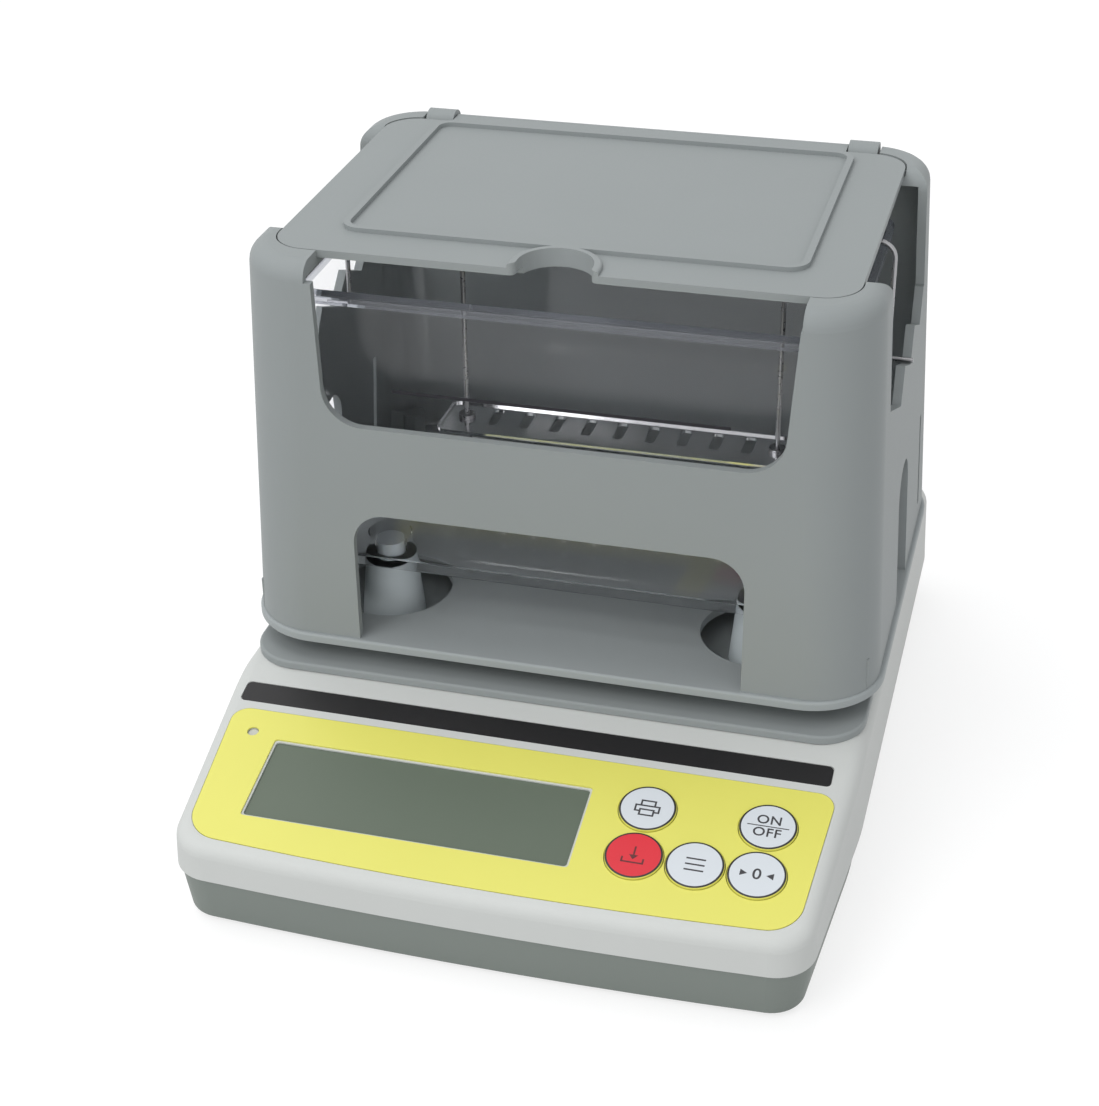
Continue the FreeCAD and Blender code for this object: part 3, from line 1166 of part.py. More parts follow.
def make_housing():
    outer = housing_block("housing_outer", ZERO, S.housing_top_z)
    top = S.housing_top_z.number
    round_edges(outer, "housing_top_edge", S.housing_round,
                lambda edge: edge.BoundBox.ZMin > top - 0.01)
    ledge_bottom = LID_BOTTOM - S.ledge
    inner = housing_block("housing_inner", S.housing_wall, ledge_bottom)
    grow = S.lid_gap
    recess = prism("lid_recess", "XY_Plane",
                   rectangle(-S.lid_half - grow, S.lid_half + grow,
                             -S.lid_front - grow, S.lid_back + S.lid_swing),
                   LID_BOTTOM, S.housing_top_z + 10, corner=S.lid_corner + grow)
    barrel_room = box("barrel_room",
                      (-EAR_OUTER - S.ear_slit, S.lid_back - 1,
                       HINGE_Z - S.barrel_radius - S.lid_gap),
                      (EAR_OUTER + S.ear_slit, S.housing_back + 10, S.housing_top_z + 10))
    over_front = -S.housing_front - 10
    behind_front = S.housing_wall * 4 - S.housing_front
    middle_open = box("middle_open", (-S.window_step_left, over_front, ledge_bottom - 1),
                      (S.window_right_top, S.lid_back - S.barrel_radius, S.housing_top_z + 10))
    # its sides run on above the top, as far as they reach below it
    front_window = prism("front_window", "XZ_Plane", [
        (-S.window_left_sill, ZERO + S.front_window_z),
        (ZERO + S.window_right_sill, ZERO + S.front_window_z),
        (2 * S.window_right_top - S.window_right_sill, 2 * S.housing_top_z - S.front_window_z),
        (S.window_left_sill - 2 * S.window_left_top, 2 * S.housing_top_z - S.front_window_z)],
        over_front, behind_front, corner=S.front_window_corner)
    below = TRAY_TOP - 2 * S.arch_corner
    front_arch = prism("front_arch", "XZ_Plane",
                       rectangle(-S.arch_half, ZERO + S.arch_half, below, ZERO + S.arch_top_z),
                       over_front, behind_front, corner=S.arch_corner)
    reach = S.housing_half + 10
    side_arch = prism("side_arch", "YZ_Plane",
                      rectangle(ZERO + S.side_arch_front, ZERO + S.side_arch_back, below,
                                ZERO + S.arch_top_z), -reach, reach, corner=S.arch_corner)
    side_slot = box("side_slot", (-reach, S.slot_front, S.slot_low_z),
                    (reach, S.slot_front + S.slot_width, S.slot_high_z))
    walls = cut("housing_walls", outer, [inner, recess, barrel_room, middle_open, front_window,
                                         front_arch, side_opening("side_opening"), side_arch,
                                         side_slot])
    bosses = bores("boss", S.boss_radius, BOSSES, TRAY_TOP, TRAY_TOP + S.boss_height)
    # a rib ties each boss to the wall beside it
    for index, (x, y) in enumerate(BOSSES):
        side = -1 if x.number < 0 else 1
        wall_x = side * (S.housing_half - S.housing_wall)
        low_x, high_x = (wall_x, x) if side < 0 else (x, wall_x)
        bosses.append(box(f"boss_rib_{index}", (low_x, y - S.housing_wall / 2, TRAY_TOP),
                          (high_x, y + S.housing_wall / 2, TRAY_TOP + S.boss_height)))
    ears = []
    for side in (-1, 1):
        left = S.ear_inner if side > 0 else -EAR_OUTER
        ears.append(cylinder(f"ear_{side + 1}", S.ear_radius, S.ear_width, left, S.hinge_back,
                             HINGE_Z, "X"))
        ears.append(box(f"ear_foot_{side + 1}",
                        (left, S.hinge_back - S.barrel_radius, HINGE_Z - 2 * S.ear_radius),
                        (left + S.ear_width, S.hinge_back + S.ear_radius, HINGE_Z)))
    solid = fuse("housing_solid", [walls] + bosses + ears)
    pilots = bores("boss_pilot", SCREW_HOLE, BOSSES, TRAY_TOP - 1, TRAY_TOP + S.boss_height - 1)
    pilots.append(cylinder("ear_bore", S.hinge_pin_radius, 2 * EAR_OUTER, -EAR_OUTER,
                           S.hinge_back, HINGE_Z, "X"))
    node(cut("housing", solid, pilots), "housing")
    pins = []
    for side in (-1, 1):
        left = BARREL_HALF - S.hinge_pin_reach if side > 0 else -EAR_OUTER
        pins.append(cylinder(f"hinge_pin_{side + 1}", S.hinge_pin_radius,
                             S.hinge_pin_reach + S.lid_gap + S.ear_width, left,
                             S.hinge_back, HINGE_Z, "X"))
    node(group("hinge_pins", pins), "hinge_pins")


# ---------------------------------------------------------------------------- lid
def notch_tool(low, high):
    """Body of the finger notch, whose sides turn out to the lid's front edge."""
    radius, flare = S.notch_radius, S.notch_flare
    mouth_x, centre_y = radius + flare, -S.notch_centre
    flare_y = flare - S.lid_front
    diagonal = math.sqrt(0.5)
    right = [(mouth_x, -S.lid_front - 5), (mouth_x, -S.lid_front), (radius, flare_y),
             (radius, centre_y)]
    left = [(-x, y) for x, y in reversed(right)]
    points = right + [(ZERO, centre_y + radius)] + left
    arcs = {1: (mouth_x - flare * diagonal, flare_y - flare * diagonal, flare),
            3: (radius * diagonal, centre_y + radius * diagonal, radius),
            4: (-radius * diagonal, centre_y + radius * diagonal, radius),
            6: (flare * diagonal - mouth_x, flare_y - flare * diagonal, flare)}
    return prism("lid_notch", "XY_Plane", points, low, high, arcs=arcs)


def notch_bead(low, high):
    """Raised bead round the finger notch, still filled inside."""
    radius, centre_y = S.notch_radius + S.notch_bead, -S.notch_centre
    diagonal = math.sqrt(0.5)
    points = [(-radius, -S.lid_front), (radius, -S.lid_front), (radius, centre_y),
              (ZERO, centre_y + radius), (-radius, centre_y)]
    arcs = {2: (radius * diagonal, centre_y + radius * diagonal, radius),
            3: (-radius * diagonal, centre_y + radius * diagonal, radius)}
    body = prism("lid_bead", "XY_Plane", points, low, high, arcs=arcs)
    top, front = high.number, -S.lid_front.number
    round_edges(body, "lid_bead_edge", S.bead_round,
                lambda edge: edge.BoundBox.ZMin > top - 0.01
                and edge.BoundBox.YMax > front + 0.01)
    return body


def make_lid():
    plate = prism("lid_blank", "XY_Plane",
                  rectangle(-S.lid_half, ZERO + S.lid_half, ZERO - S.lid_front,
                            ZERO + S.lid_back),
                  LID_BOTTOM, S.housing_top_z, corner=S.lid_corner)
    tongue = box("lid_tongue", (-BARREL_HALF, S.lid_back - S.lid_corner, LID_BOTTOM),
                 (BARREL_HALF, S.hinge_back, S.housing_top_z))
    barrel = cylinder("lid_barrel", S.barrel_radius, 2 * BARREL_HALF, -BARREL_HALF,
                      S.hinge_back, HINGE_Z, "X")
    ridge_top = S.housing_top_z + S.ridge_height
    ridge = cut("lid_ridge", prism(
        "ridge_outer", "XY_Plane",
        rectangle(-S.ridge_half, ZERO + S.ridge_half, ZERO - S.ridge_front, ZERO + S.ridge_back),
        S.housing_top_z - 1, ridge_top, corner=S.ridge_corner), [prism(
            "ridge_inner", "XY_Plane",
            rectangle(S.ridge_width - S.ridge_half, S.ridge_half - S.ridge_width,
                      S.ridge_width - S.ridge_front, S.ridge_back - S.ridge_width),
            S.housing_top_z - 2, ridge_top + 1, corner=S.ridge_corner - S.ridge_width)])
    # behind the notch the bead has a skirt below the lid
    bead_low = LID_BOTTOM - S.notch_skirt
    bead = notch_bead(bead_low, ridge_top)
    notch = notch_tool(bead_low - 1, ridge_top + 1)
    ahead_of_skirt = box("ahead_of_skirt", (-S.ridge_half, -S.lid_front - 1, bead_low - 1),
                         (S.ridge_half, -S.skirt_front, LID_BOTTOM))
    solid = fuse("lid_solid", [plate, tongue, barrel, ridge, bead])
    pin_bore = S.hinge_pin_radius + S.running_gap
    bore_depth = S.hinge_pin_reach + S.lid_gap
    tools = [notch, ahead_of_skirt,
             cylinder("barrel_bore_left", pin_bore, bore_depth + 1, -BARREL_HALF - 1,
                      S.hinge_back, HINGE_Z, "X"),
             cylinder("barrel_bore_right", pin_bore, bore_depth + 1, BARREL_HALF - bore_depth,
                      S.hinge_back, HINGE_Z, "X")]
    node(cut("lid", solid, tools), "lid")


# ---------------------------------------------------------------------------- tank
def tank_outline(half, depth):
    return rectangle(-half, ZERO + half, S.tank_centre - depth / 2, S.tank_centre + depth / 2)


def make_tank():
    outer = tapered("tank_outer", tank_outline(S.tank_floor_half, S.tank_floor_depth),
                    tank_outline(S.tank_half, S.tank_depth), S.post_top_z, S.tank_top_z)
    round_edges(outer, "tank_corners", S.tank_corner, lambda edge: runs_along(edge, UP))
    bottom = S.post_top_z.number
    round_edges(outer, "tank_bottom_edge", S.tank_round,
                lambda edge: edge.BoundBox.ZMax < bottom + 0.01)
    wall = S.tank_wall
    floor_z = S.post_top_z + S.tank_floor
    inner = tapered("tank_inner",
                    tank_outline(S.tank_floor_half - wall, S.tank_floor_depth - 2 * wall),
                    tank_outline(S.tank_half - wall, S.tank_depth - 2 * wall),
                    floor_z, S.tank_top_z + 1)
    round_edges(inner, "tank_inner_corners", S.tank_corner - wall,
                lambda edge: runs_along(edge, UP))
    floor = floor_z.number
    round_edges(inner, "tank_inner_bottom", S.tank_round - wall,
                lambda edge: edge.BoundBox.ZMax < floor + 0.01)
    rim = prism("tank_rim", "XY_Plane",
                tank_outline(S.tank_half + S.rim_width, S.tank_depth + 2 * S.rim_width),
                S.tank_top_z - S.rim_height, S.tank_top_z, corner=S.tank_corner + S.rim_width)
    shell = cut("tank_shell", fuse("tank_blank", [outer, rim]), [inner])
    socket_radius = S.pin_radius + S.socket_gap
    socket_top = S.post_top_z + S.pin_height + S.socket_gap
    sockets = bores("tank_socket", socket_radius + S.socket_wall, POSTS.values(),
                    S.post_top_z + S.tank_floor / 2, socket_top + S.socket_wall)
    holes = bores("tank_socket_hole", socket_radius, POSTS.values(), S.post_top_z - 1, socket_top)
    node(cut("tank", fuse("tank_solid", [shell] + sockets), holes), "tank")


# ---------------------------------------------------------------------------- basket
BASKET_TOP = S.basket_z + S.basket_sheet
NOTCH_STEEPNESS = S.notch_rise / S.notch_run
# a rod's axis stands so far above the notch's bottom that it clears both flanks
TIP_Z = S.notch_z + (S.rod_radius + S.rod_rest) * length_of(Size.of(1), NOTCH_STEEPNESS)
HOUSING_LEAN = (S.housing_half - S.housing_half_top) / (S.housing_top_z - TRAY_TOP)
TIP_X = S.housing_half - HOUSING_LEAN * (TIP_Z - TRAY_TOP) + S.rod_tip
DROP_X = S.tank_half + S.rim_width + S.rod_beside_rim
BRIDGE_Z = S.tank_top_z + S.rod_over_rim


def eye_x(side):
    """Place of the wire's foot in the tray, left (-1) or right (1)."""
    return S.basket_shift + side * (S.basket_half - S.rod_inset)


def make_basket_tray():
    left, right = S.basket_shift - S.basket_half, S.basket_shift + S.basket_half
    front, back = S.hang_back - S.basket_ahead, S.hang_back + S.basket_behind
    outer = prism("basket_outer", "XY_Plane", rectangle(left, right, front, back),
                  S.basket_z, S.basket_z + S.basket_rim, corner=S.basket_corner)
    bottom = S.basket_z.number
    round_edges(outer, "basket_lower_edge", S.basket_edge,
                lambda edge: edge.BoundBox.ZMax < bottom + 0.01)
    sheet_metal = S.basket_sheet
    inner = prism("basket_inner", "XY_Plane",
                  rectangle(left + sheet_metal, right - sheet_metal,
                            front + sheet_metal, back - sheet_metal),
                  BASKET_TOP, BASKET_TOP + S.basket_rim, corner=S.basket_corner - sheet_metal)
    slots = []
    slot_y = S.hang_back + S.slot_behind
    for index in range(-4, 5):
        x = S.basket_shift + index * S.slot_pitch
        slots.append(prism(f"basket_slot_{index + 4}", "XY_Plane",
                           rectangle(x - S.slot_wide / 2, x + S.slot_wide / 2,
                                     slot_y - S.slot_long / 2, slot_y + S.slot_long / 2),
                           S.basket_z - 1, BASKET_TOP + 1, corner=S.slot_wide / 3))
    eyes = bores("basket_eye", S.rod_radius + S.running_gap,
                 [(eye_x(-1), S.hang_back), (eye_x(1), S.hang_back)],
                 S.basket_z - 1, BASKET_TOP + 1)
    node(cut("basket_tray", outer, [inner] + slots + eyes), "basket_tray")


def elbow(name, x, z, turn):
    """Quarter bend of a hanger round (x, z), turned so many degrees in the upright plane."""
    item = doc.addObject("Part::Torus", name)
    bind(item, "Radius1", S.rod_bend)
    bind(item, "Radius2", S.rod_radius)
    item.Angle3 = 90
    upright = Rotation(Vector(1, 0, 0), 90) * Rotation(Vector(0, 0, 1), turn)
    return place(item, x, S.hang_back, z, upright)


def make_hanger(name, side):
    """Wire from the tray up over the tank's rim, down outside it and out into a notch."""
    radius, bend = S.rod_radius, side * S.rod_bend
    foot_x, drop_x, tip_x = eye_x(side), side * DROP_X, side * TIP_X

    def across(part, start_x, end_x, z):
        low_x, high_x = (start_x, end_x) if side > 0 else (end_x, start_x)
        return cylinder(f"{name}_{part}", radius, high_x - low_x, low_x, S.hang_back, z, "X")

    def upright(part, x, low_z, high_z):
        return cylinder(f"{name}_{part}", radius, high_z - low_z, x, S.hang_back, low_z)

    inner_turn, outer_turn = (90, 0) if side > 0 else (0, 90)
    foot_z = S.basket_z - S.collar_height
    bend_z = BRIDGE_Z - S.rod_bend
    pieces = [
        upright("rise", foot_x, foot_z, bend_z),
        elbow(f"{name}_inner_bend", foot_x + bend, bend_z, inner_turn),
        across("bridge", foot_x + bend, drop_x - bend, BRIDGE_Z),
        elbow(f"{name}_outer_bend", drop_x - bend, bend_z, outer_turn),
        upright("drop", drop_x, TIP_Z, bend_z),
        across("tip", drop_x, tip_x, TIP_Z),
        ball(f"{name}_corner", drop_x, TIP_Z),
        cylinder(f"{name}_low_collar", S.collar_radius, S.collar_height, foot_x,
                 S.hang_back, foot_z),
        cylinder(f"{name}_high_collar", S.collar_radius, S.collar_height, foot_x,
                 S.hang_back, BASKET_TOP),
    ]
    node(fuse(name, pieces), name)


def ball(name, x, z):
    """Tight bend of a hanger, as the ball that its two runs share."""
    item = doc.addObject("Part::Sphere", name)
    bind(item, "Radius", S.rod_radius)
    return place(item, x, S.hang_back, z)


# ---------------------------------------------------------------------------- build and write
def check(items):
    for item in doc.Objects:
        if {"Invalid", "Error"} & set(item.State):
            raise RuntimeError(f"{item.Name} failed: {item.State}")
    for item in items:
        if item.Shape.isNull() or not item.Shape.isValid() or item.Shape.Volume <= 0:
            raise RuntimeError(f"{item.Label} has no valid shape")


make_lower_shell()
make_upper_shell()
make_feet()
make_case_screws()
make_panel_pieces()
make_keys()
make_key_board()
make_main_board()
make_load_cell()
make_platform()
make_tray()
make_housing()
make_lid()
make_tank()
make_basket_tray()
make_hanger("basket_hanger_left", -1)
make_hanger("basket_hanger_right", 1)
doc.recompute()
check(nodes)
os.makedirs("parts", exist_ok=True)
for item in nodes:
    item.Shape.exportStep(f"parts/{item.Label}.step")
print(len(nodes), "nodes,", sum(len(item.Shape.Solids) for item in nodes), "solids")
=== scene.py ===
import json
import math

import bmesh
import bpy
from mathutils import Matrix, Vector


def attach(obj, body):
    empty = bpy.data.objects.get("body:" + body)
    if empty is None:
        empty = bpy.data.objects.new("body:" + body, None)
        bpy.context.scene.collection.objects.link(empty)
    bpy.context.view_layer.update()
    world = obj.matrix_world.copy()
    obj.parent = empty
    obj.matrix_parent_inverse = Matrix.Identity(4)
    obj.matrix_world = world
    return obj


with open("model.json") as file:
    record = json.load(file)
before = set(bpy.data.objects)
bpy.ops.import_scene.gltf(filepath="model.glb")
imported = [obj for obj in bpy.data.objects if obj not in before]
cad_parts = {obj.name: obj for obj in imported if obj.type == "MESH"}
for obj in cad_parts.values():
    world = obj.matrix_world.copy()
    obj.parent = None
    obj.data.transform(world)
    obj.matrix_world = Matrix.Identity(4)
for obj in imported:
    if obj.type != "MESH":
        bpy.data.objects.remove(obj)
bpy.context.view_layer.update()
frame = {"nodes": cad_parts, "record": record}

# Lengths are in metres: +X right, +Y back, +Z up, the table at 0.
MM = 0.001

# ---------------------------------------------------------------------------- places
PANEL_SLOPE = math.radians(11.77)
PANEL_FOLD = (0.0, -53.0 * MM, 42.0 * MM)
# from the sloped panel, with its origin on the fold, to the model: x right, y up the slope, z out
PANEL = Matrix.Translation(PANEL_FOLD) @ Matrix.Rotation(PANEL_SLOPE, 4, "X")
# column and row of each key on the panel
KEYS = {"key_print": (0, 0), "key_memory": (0, 1), "key_function": (1, 1),
        "key_on_off": (2, 0), "key_zero": (2, 1)}
KEY_COLUMN, KEY_PITCH = 39.0 * MM, 16.9 * MM
KEY_ROW, KEY_ROW_PITCH = 29.0 * MM, 17.1 * MM
KEY_RADIUS = 8.1 * MM
KEY_TOP = 0.8 * MM
# key's edge in to its dark outline, and to the end of its yellow skirt
RING_INSET, SKIRT_INSET = 0.72 * MM, 0.16 * MM
RING_BLEND = 0.05 * MM
# height where the tank's rim begins, and how softly its painted reflection sets in there
TANK_RIM_LOW = 155.6 * MM
RIM_BLEND = 0.2 * MM
# front wall of the tank at the fill line, and its lean: 1.8 mm out over 92.2 mm of height
TANK_FRONT_Y = -27.75 * MM
TANK_LEAN = math.atan2(1.8, 92.2)
FILL_LINE_Z = 129.2 * MM
PRINT = 0.03 * MM

# ---------------------------------------------------------------------------- finishes
# how strongly a plain surface mirrors
MATT, SATIN, GLOSS = 0.12, 0.38, 0.5
KEY_PALE = (0.66, 0.70, 0.74)
KEY_RED = (0.70, 0.016, 0.033)
RING_BLACK = (0.012, 0.011, 0.012)
OVERLAY_YELLOW = (0.745, 0.718, 0.135)
# a thin wall hardly bends what is seen through it
THIN_WALL_IOR = 1.06
TANK_COAT = 0.4
# noise features per metre: broad patches, the grain of the keys, tool marks, waves in the tank
PATCHES, KEY_PATCHES, KEY_GRAIN, TOOL_MARKS, WAVES = 30, 60, 2500, 900, 25
# noise keeps to this middle part of 0..1
NOISE_LOW, NOISE_HIGH = 0.3, 0.7


def key_place(key):
    """Middle of a key on the panel."""
    column, row = KEYS[key]
    return KEY_COLUMN + column * KEY_PITCH, -KEY_ROW - row * KEY_ROW_PITCH


def new_material(name):
    """Material with a Principled shader; returns its nodes, links and shader too."""
    material = bpy.data.materials.new(name)
    material.use_nodes = True
    tree = material.node_tree
    return material, tree.nodes, tree.links, tree.nodes["Principled BSDF"]


def noise(nodes, links, scale, detail=2.0, stretch=None):
    """Noise over the object's own coordinates, stretched along an axis if asked."""
    place = nodes.new("ShaderNodeTexCoord").outputs["Object"]
    if stretch:
        mapping = nodes.new("ShaderNodeMapping")
        mapping.inputs["Scale"].default_value = stretch
        links.new(place, mapping.inputs["Vector"])
        place = mapping.outputs["Vector"]
    texture = nodes.new("ShaderNodeTexNoise")
    texture.inputs["Scale"].default_value = scale
    texture.inputs["Detail"].default_value = detail
    links.new(place, texture.inputs["Vector"])
    return texture.outputs["Fac"]


def map_range(nodes, links, value, from_min, from_max, to_min=0.0, to_max=1.0):
    """Maps one range of a value to another."""
    spread = nodes.new("ShaderNodeMapRange")
    spread.inputs["From Min"].default_value = from_min
    spread.inputs["From Max"].default_value = from_max
    spread.inputs["To Min"].default_value = to_min
    spread.inputs["To Max"].default_value = to_max
    links.new(value, spread.inputs["Value"])
    return spread.outputs["Result"]


def spread_noise(nodes, links, value, low, high):
    """Spreads noise between two numbers."""
    return map_range(nodes, links, value, NOISE_LOW, NOISE_HIGH, low, high)


def mixed(nodes, links, factor, first, second):
    """Colour between two, each a colour or another node's output."""
    mix = nodes.new("ShaderNodeMix")
    mix.data_type = "RGBA"
    for socket, colour in (("A", first), ("B", second)):
        if isinstance(colour, tuple):
            mix.inputs[socket].default_value = (*colour, 1)
        else:
            links.new(colour, mix.inputs[socket])
    links.new(factor, mix.inputs["Factor"])
    return mix.outputs["Result"]


def two_tone(nodes, links, value, colour, change):
    """Colour that drifts a little round its mean with a 0..1 value."""
    return mixed(nodes, links, value, tuple(c * (1 - change) for c in colour),
                 tuple(min(1, c * (1 + change)) for c in colour))


def bump(nodes, links, shader, value, depth, strength=0.5):
    """Fine relief; its depth in millimetres."""
    relief = nodes.new("ShaderNodeBump")
    relief.inputs["Strength"].default_value = strength
    relief.inputs["Distance"].default_value = depth * MM
    links.new(value, relief.inputs["Height"])
    links.new(relief.outputs["Normal"], shader.inputs["Normal"])


def moulded(name, colour, rough=(0.42, 0.52), grain=0.35, depth=0.02, change=0.02, gloss=GLOSS):
    """Plastic or film with a fine grain; grain and its depth in millimetres."""
    material, nodes, links, shader = new_material(name)
    shader.inputs["Specular IOR Level"].default_value = gloss
    patches = noise(nodes, links, PATCHES, detail=3)
    fine = noise(nodes, links, 1 / (grain * MM))
    links.new(two_tone(nodes, links, patches, colour, change), shader.inputs["Base Color"])
    links.new(spread_noise(nodes, links, fine, *rough), shader.inputs["Roughness"])
    bump(nodes, links, shader, fine, depth)
    return material


def metal(name, colour, rough, stretch=(1, 1, 1), depth=0.002):
    """Metal with tool marks along its less stretched axes; their depth in millimetres."""
    material, nodes, links, shader = new_material(name)
    shader.inputs["Metallic"].default_value = 1.0
    marks = noise(nodes, links, TOOL_MARKS, detail=3, stretch=stretch)
    links.new(two_tone(nodes, links, marks, colour, change=0.03), shader.inputs["Base Color"])
    links.new(spread_noise(nodes, links, marks, *rough), shader.inputs["Roughness"])
    bump(nodes, links, shader, marks, depth, strength=0.3)
    return material


def clear(name, colour, haze, rim_painted_reflection_colour, rim_painted_haze):
    """Thin clear plastic with a gloss coat and a touch of haze; its rim gets a painted
    reflection, a denser violet-grey haze standing in for the light that the polished rim bends
    and mirrors.
    """
    material, nodes, links, shader = new_material(name)
    shader.inputs["IOR"].default_value = THIN_WALL_IOR
    shader.inputs["Coat Weight"].default_value = TANK_COAT
    waves = noise(nodes, links, WAVES, detail=1)
    position = nodes.new("ShaderNodeSeparateXYZ")
    links.new(nodes.new("ShaderNodeTexCoord").outputs["Object"], position.inputs["Vector"])
    # painted reflection: above the rim's low edge the colour turns violet-grey and the haze
    # thickens, for the light the polished rim bends and mirrors
    painted_rim_mask = map_range(nodes, links, position.outputs["Z"],
                       TANK_RIM_LOW - RIM_BLEND, TANK_RIM_LOW + RIM_BLEND)
    wall = two_tone(nodes, links, waves, colour, change=0.01)
    links.new(mixed(nodes, links, painted_rim_mask, wall, rim_painted_reflection_colour), shader.inputs["Base Color"])
    links.new(spread_noise(nodes, links, waves, low=0.0, high=0.02),
              shader.inputs["Roughness"])
    passing = map_range(nodes, links, painted_rim_mask, 0.0, 1.0, 1 - haze, 1 - rim_painted_haze)
    links.new(passing, shader.inputs["Transmission Weight"])
    return material


def key_cap(name, colour, key):
    """Satin key with a thin dark outline near its edge, and a skirt in the overlay's yellow."""
    material, nodes, links, shader = new_material(name)
    lay_flat = nodes.new("ShaderNodeMapping")
    lay_flat.vector_type = "TEXTURE"
    lay_flat.inputs["Location"].default_value = PANEL @ Vector((*key_place(key), 0))
    lay_flat.inputs["Rotation"].default_value = (PANEL_SLOPE, 0, 0)
    links.new(nodes.new("ShaderNodeTexCoord").outputs["Object"], lay_flat.inputs["Vector"])
    flat = nodes.new("ShaderNodeVectorMath")
    flat.operation = "MULTIPLY"
    flat.inputs[1].default_value = (1, 1, 0)
    links.new(lay_flat.outputs["Vector"], flat.inputs[0])
    distance = nodes.new("ShaderNodeVectorMath")
    distance.operation = "LENGTH"
    links.new(flat.outputs["Vector"], distance.inputs[0])
    shade = two_tone(nodes, links, noise(nodes, links, KEY_PATCHES), colour, change=0.02)
    for inset, beyond in ((RING_INSET, RING_BLACK), (SKIRT_INSET, OVERLAY_YELLOW)):
        edge = map_range(nodes, links, distance.outputs["Value"],
                         KEY_RADIUS - inset, KEY_RADIUS - inset + RING_BLEND)
        shade = mixed(nodes, links, edge, shade, beyond)
    links.new(shade, shader.inputs["Base Color"])
    fine = noise(nodes, links, KEY_GRAIN)
    links.new(spread_noise(nodes, links, fine, low=0.34, high=0.42),
              shader.inputs["Roughness"])
    bump(nodes, links, shader, fine, depth=0.01)
    return material


MATERIALS = {
    "case_grey": moulded("case_grey", (0.228, 0.254, 0.235), gloss=MATT),
    "case_white": moulded("case_white", (0.60, 0.615, 0.60), grain=0.4, gloss=MATT),
    "overlay_yellow": moulded("overlay_yellow", OVERLAY_YELLOW, (0.36, 0.44), 0.25, 0.01),
    "strip_black": moulded("strip_black", (0.008, 0.0075, 0.0085), (0.42, 0.50), 0.25, 0.01,
                           gloss=SATIN),
    "display_glass": moulded("display_glass", (0.112, 0.142, 0.105), (0.42, 0.48), 0.3, 0.003,
                             0.03, gloss=SATIN),
    "display_dark": moulded("display_dark", (0.150, 0.182, 0.140), (0.25, 0.32), 0.3, 0.005,
                            0.04),
    "indicator": moulded("indicator", (0.50, 0.51, 0.47), (0.25, 0.3), 0.3, 0.005),
    "board": moulded("board", (0.02, 0.12, 0.05), (0.3, 0.45), 0.5, 0.03, 0.1),
    "black_plastic": moulded("black_plastic", (0.02, 0.02, 0.02), (0.4, 0.5)),
    "port_metal": metal("port_metal", (0.62, 0.62, 0.60), (0.25, 0.35), (1, 12, 1)),
    "bare_aluminium": metal("bare_aluminium", (0.72, 0.72, 0.73), (0.28, 0.4), (1, 0.05, 1)),
    "steel": metal("steel", (0.55, 0.55, 0.56), (0.2, 0.3), (0.1, 1, 1)),
    "screw_steel": metal("screw_steel", (0.5, 0.5, 0.5), (0.28, 0.38)),
    "stage_grey": moulded("stage_grey", (0.290, 0.313, 0.315), gloss=MATT),
    # painted light: the tray is the stage's own grey made about a fifth lighter, to make up for
    # the shade it sits in
    "stage_grey_painted_lighter": moulded("stage_grey_painted_lighter", (0.350, 0.378, 0.383), gloss=MATT),
    "post_grey": moulded("post_grey", (0.60, 0.66, 0.68)),
    # the rim's violet-grey colour and its haze of 0.16 are a painted reflection of the polished
    # rim
    "tank_clear": clear("tank_clear", (0.975, 0.978, 0.99), 0.007, (0.50, 0.52, 0.57), 0.16),
    "basket_steel": metal("basket_steel", (0.78, 0.78, 0.79), (0.05, 0.12), (0.2, 1, 1), 0.001),
    # drawn wire, duller than the pressed tray
    "hanger_steel": metal("hanger_steel", (0.34, 0.34, 0.35), (0.25, 0.35)),
    "foot_rubber": moulded("foot_rubber", (0.02, 0.02, 0.02), (0.7, 0.85), 0.6, 0.05),
}
# nodes with a finish of their own within their slot; the tray's is a lighter copy of its slot's
# grey, painted light against the shade it sits in
OWN_FINISH = {"stage_tray": "stage_grey_painted_lighter", "basket_hanger_left": "hanger_steel",
              "basket_hanger_right": "hanger_steel"}
SLOTS = {entry["node"]: entry["material_slot"] for entry in frame["record"]["subparts"]}
for node, obj in frame["nodes"].items():
    if node in KEYS:
        cap_colour = KEY_RED if SLOTS[node] == "key_red" else KEY_PALE
        finish = key_cap(node + "_finish", cap_colour, node)
    else:
        finish = MATERIALS[OWN_FINISH.get(node, SLOTS[node])]
    for held in obj.material_slots:
        held.material = finish

# ---------------------------------------------------------------------------- printed marks
# in millimetres: width of a sign's lines, and how much bolder the letters are drawn
LINE = 0.52
BOLD = 0.06
# height of a capital in a font of size 1, and the letters' spacing
CAPITAL = 0.7
SPACING = 1.08


def link(obj, material, body):
    """Puts an object in the scene, on a body of the model, in one finish."""
    bpy.context.scene.collection.objects.link(obj)
    obj.data.materials.append(material)
    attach(obj, body)


def flat_shapes(name, outlines, matrix, thickness):
    """Mesh of flat outlines, each a list of (x, y) in millimetres, with a thickness."""
    mesh = bpy.data.meshes.new(name)
    shape = bmesh.new()
    for outline in outlines:
        low = [shape.verts.new((x * MM, y * MM, 0)) for x, y in outline]
        high = [shape.verts.new((x * MM, y * MM, thickness)) for x, y in outline]
        shape.faces.new(high)
        shape.faces.new(low[::-1])
        for i, corner in enumerate(low):
            after = (i + 1) % len(low)
            shape.faces.new((corner, low[after], high[after], high[i]))
    bmesh.ops.recalc_face_normals(shape, faces=shape.faces)
    shape.to_mesh(mesh)
    shape.free()
    obj = bpy.data.objects.new(name, mesh)
    obj.matrix_world = matrix
    return obj


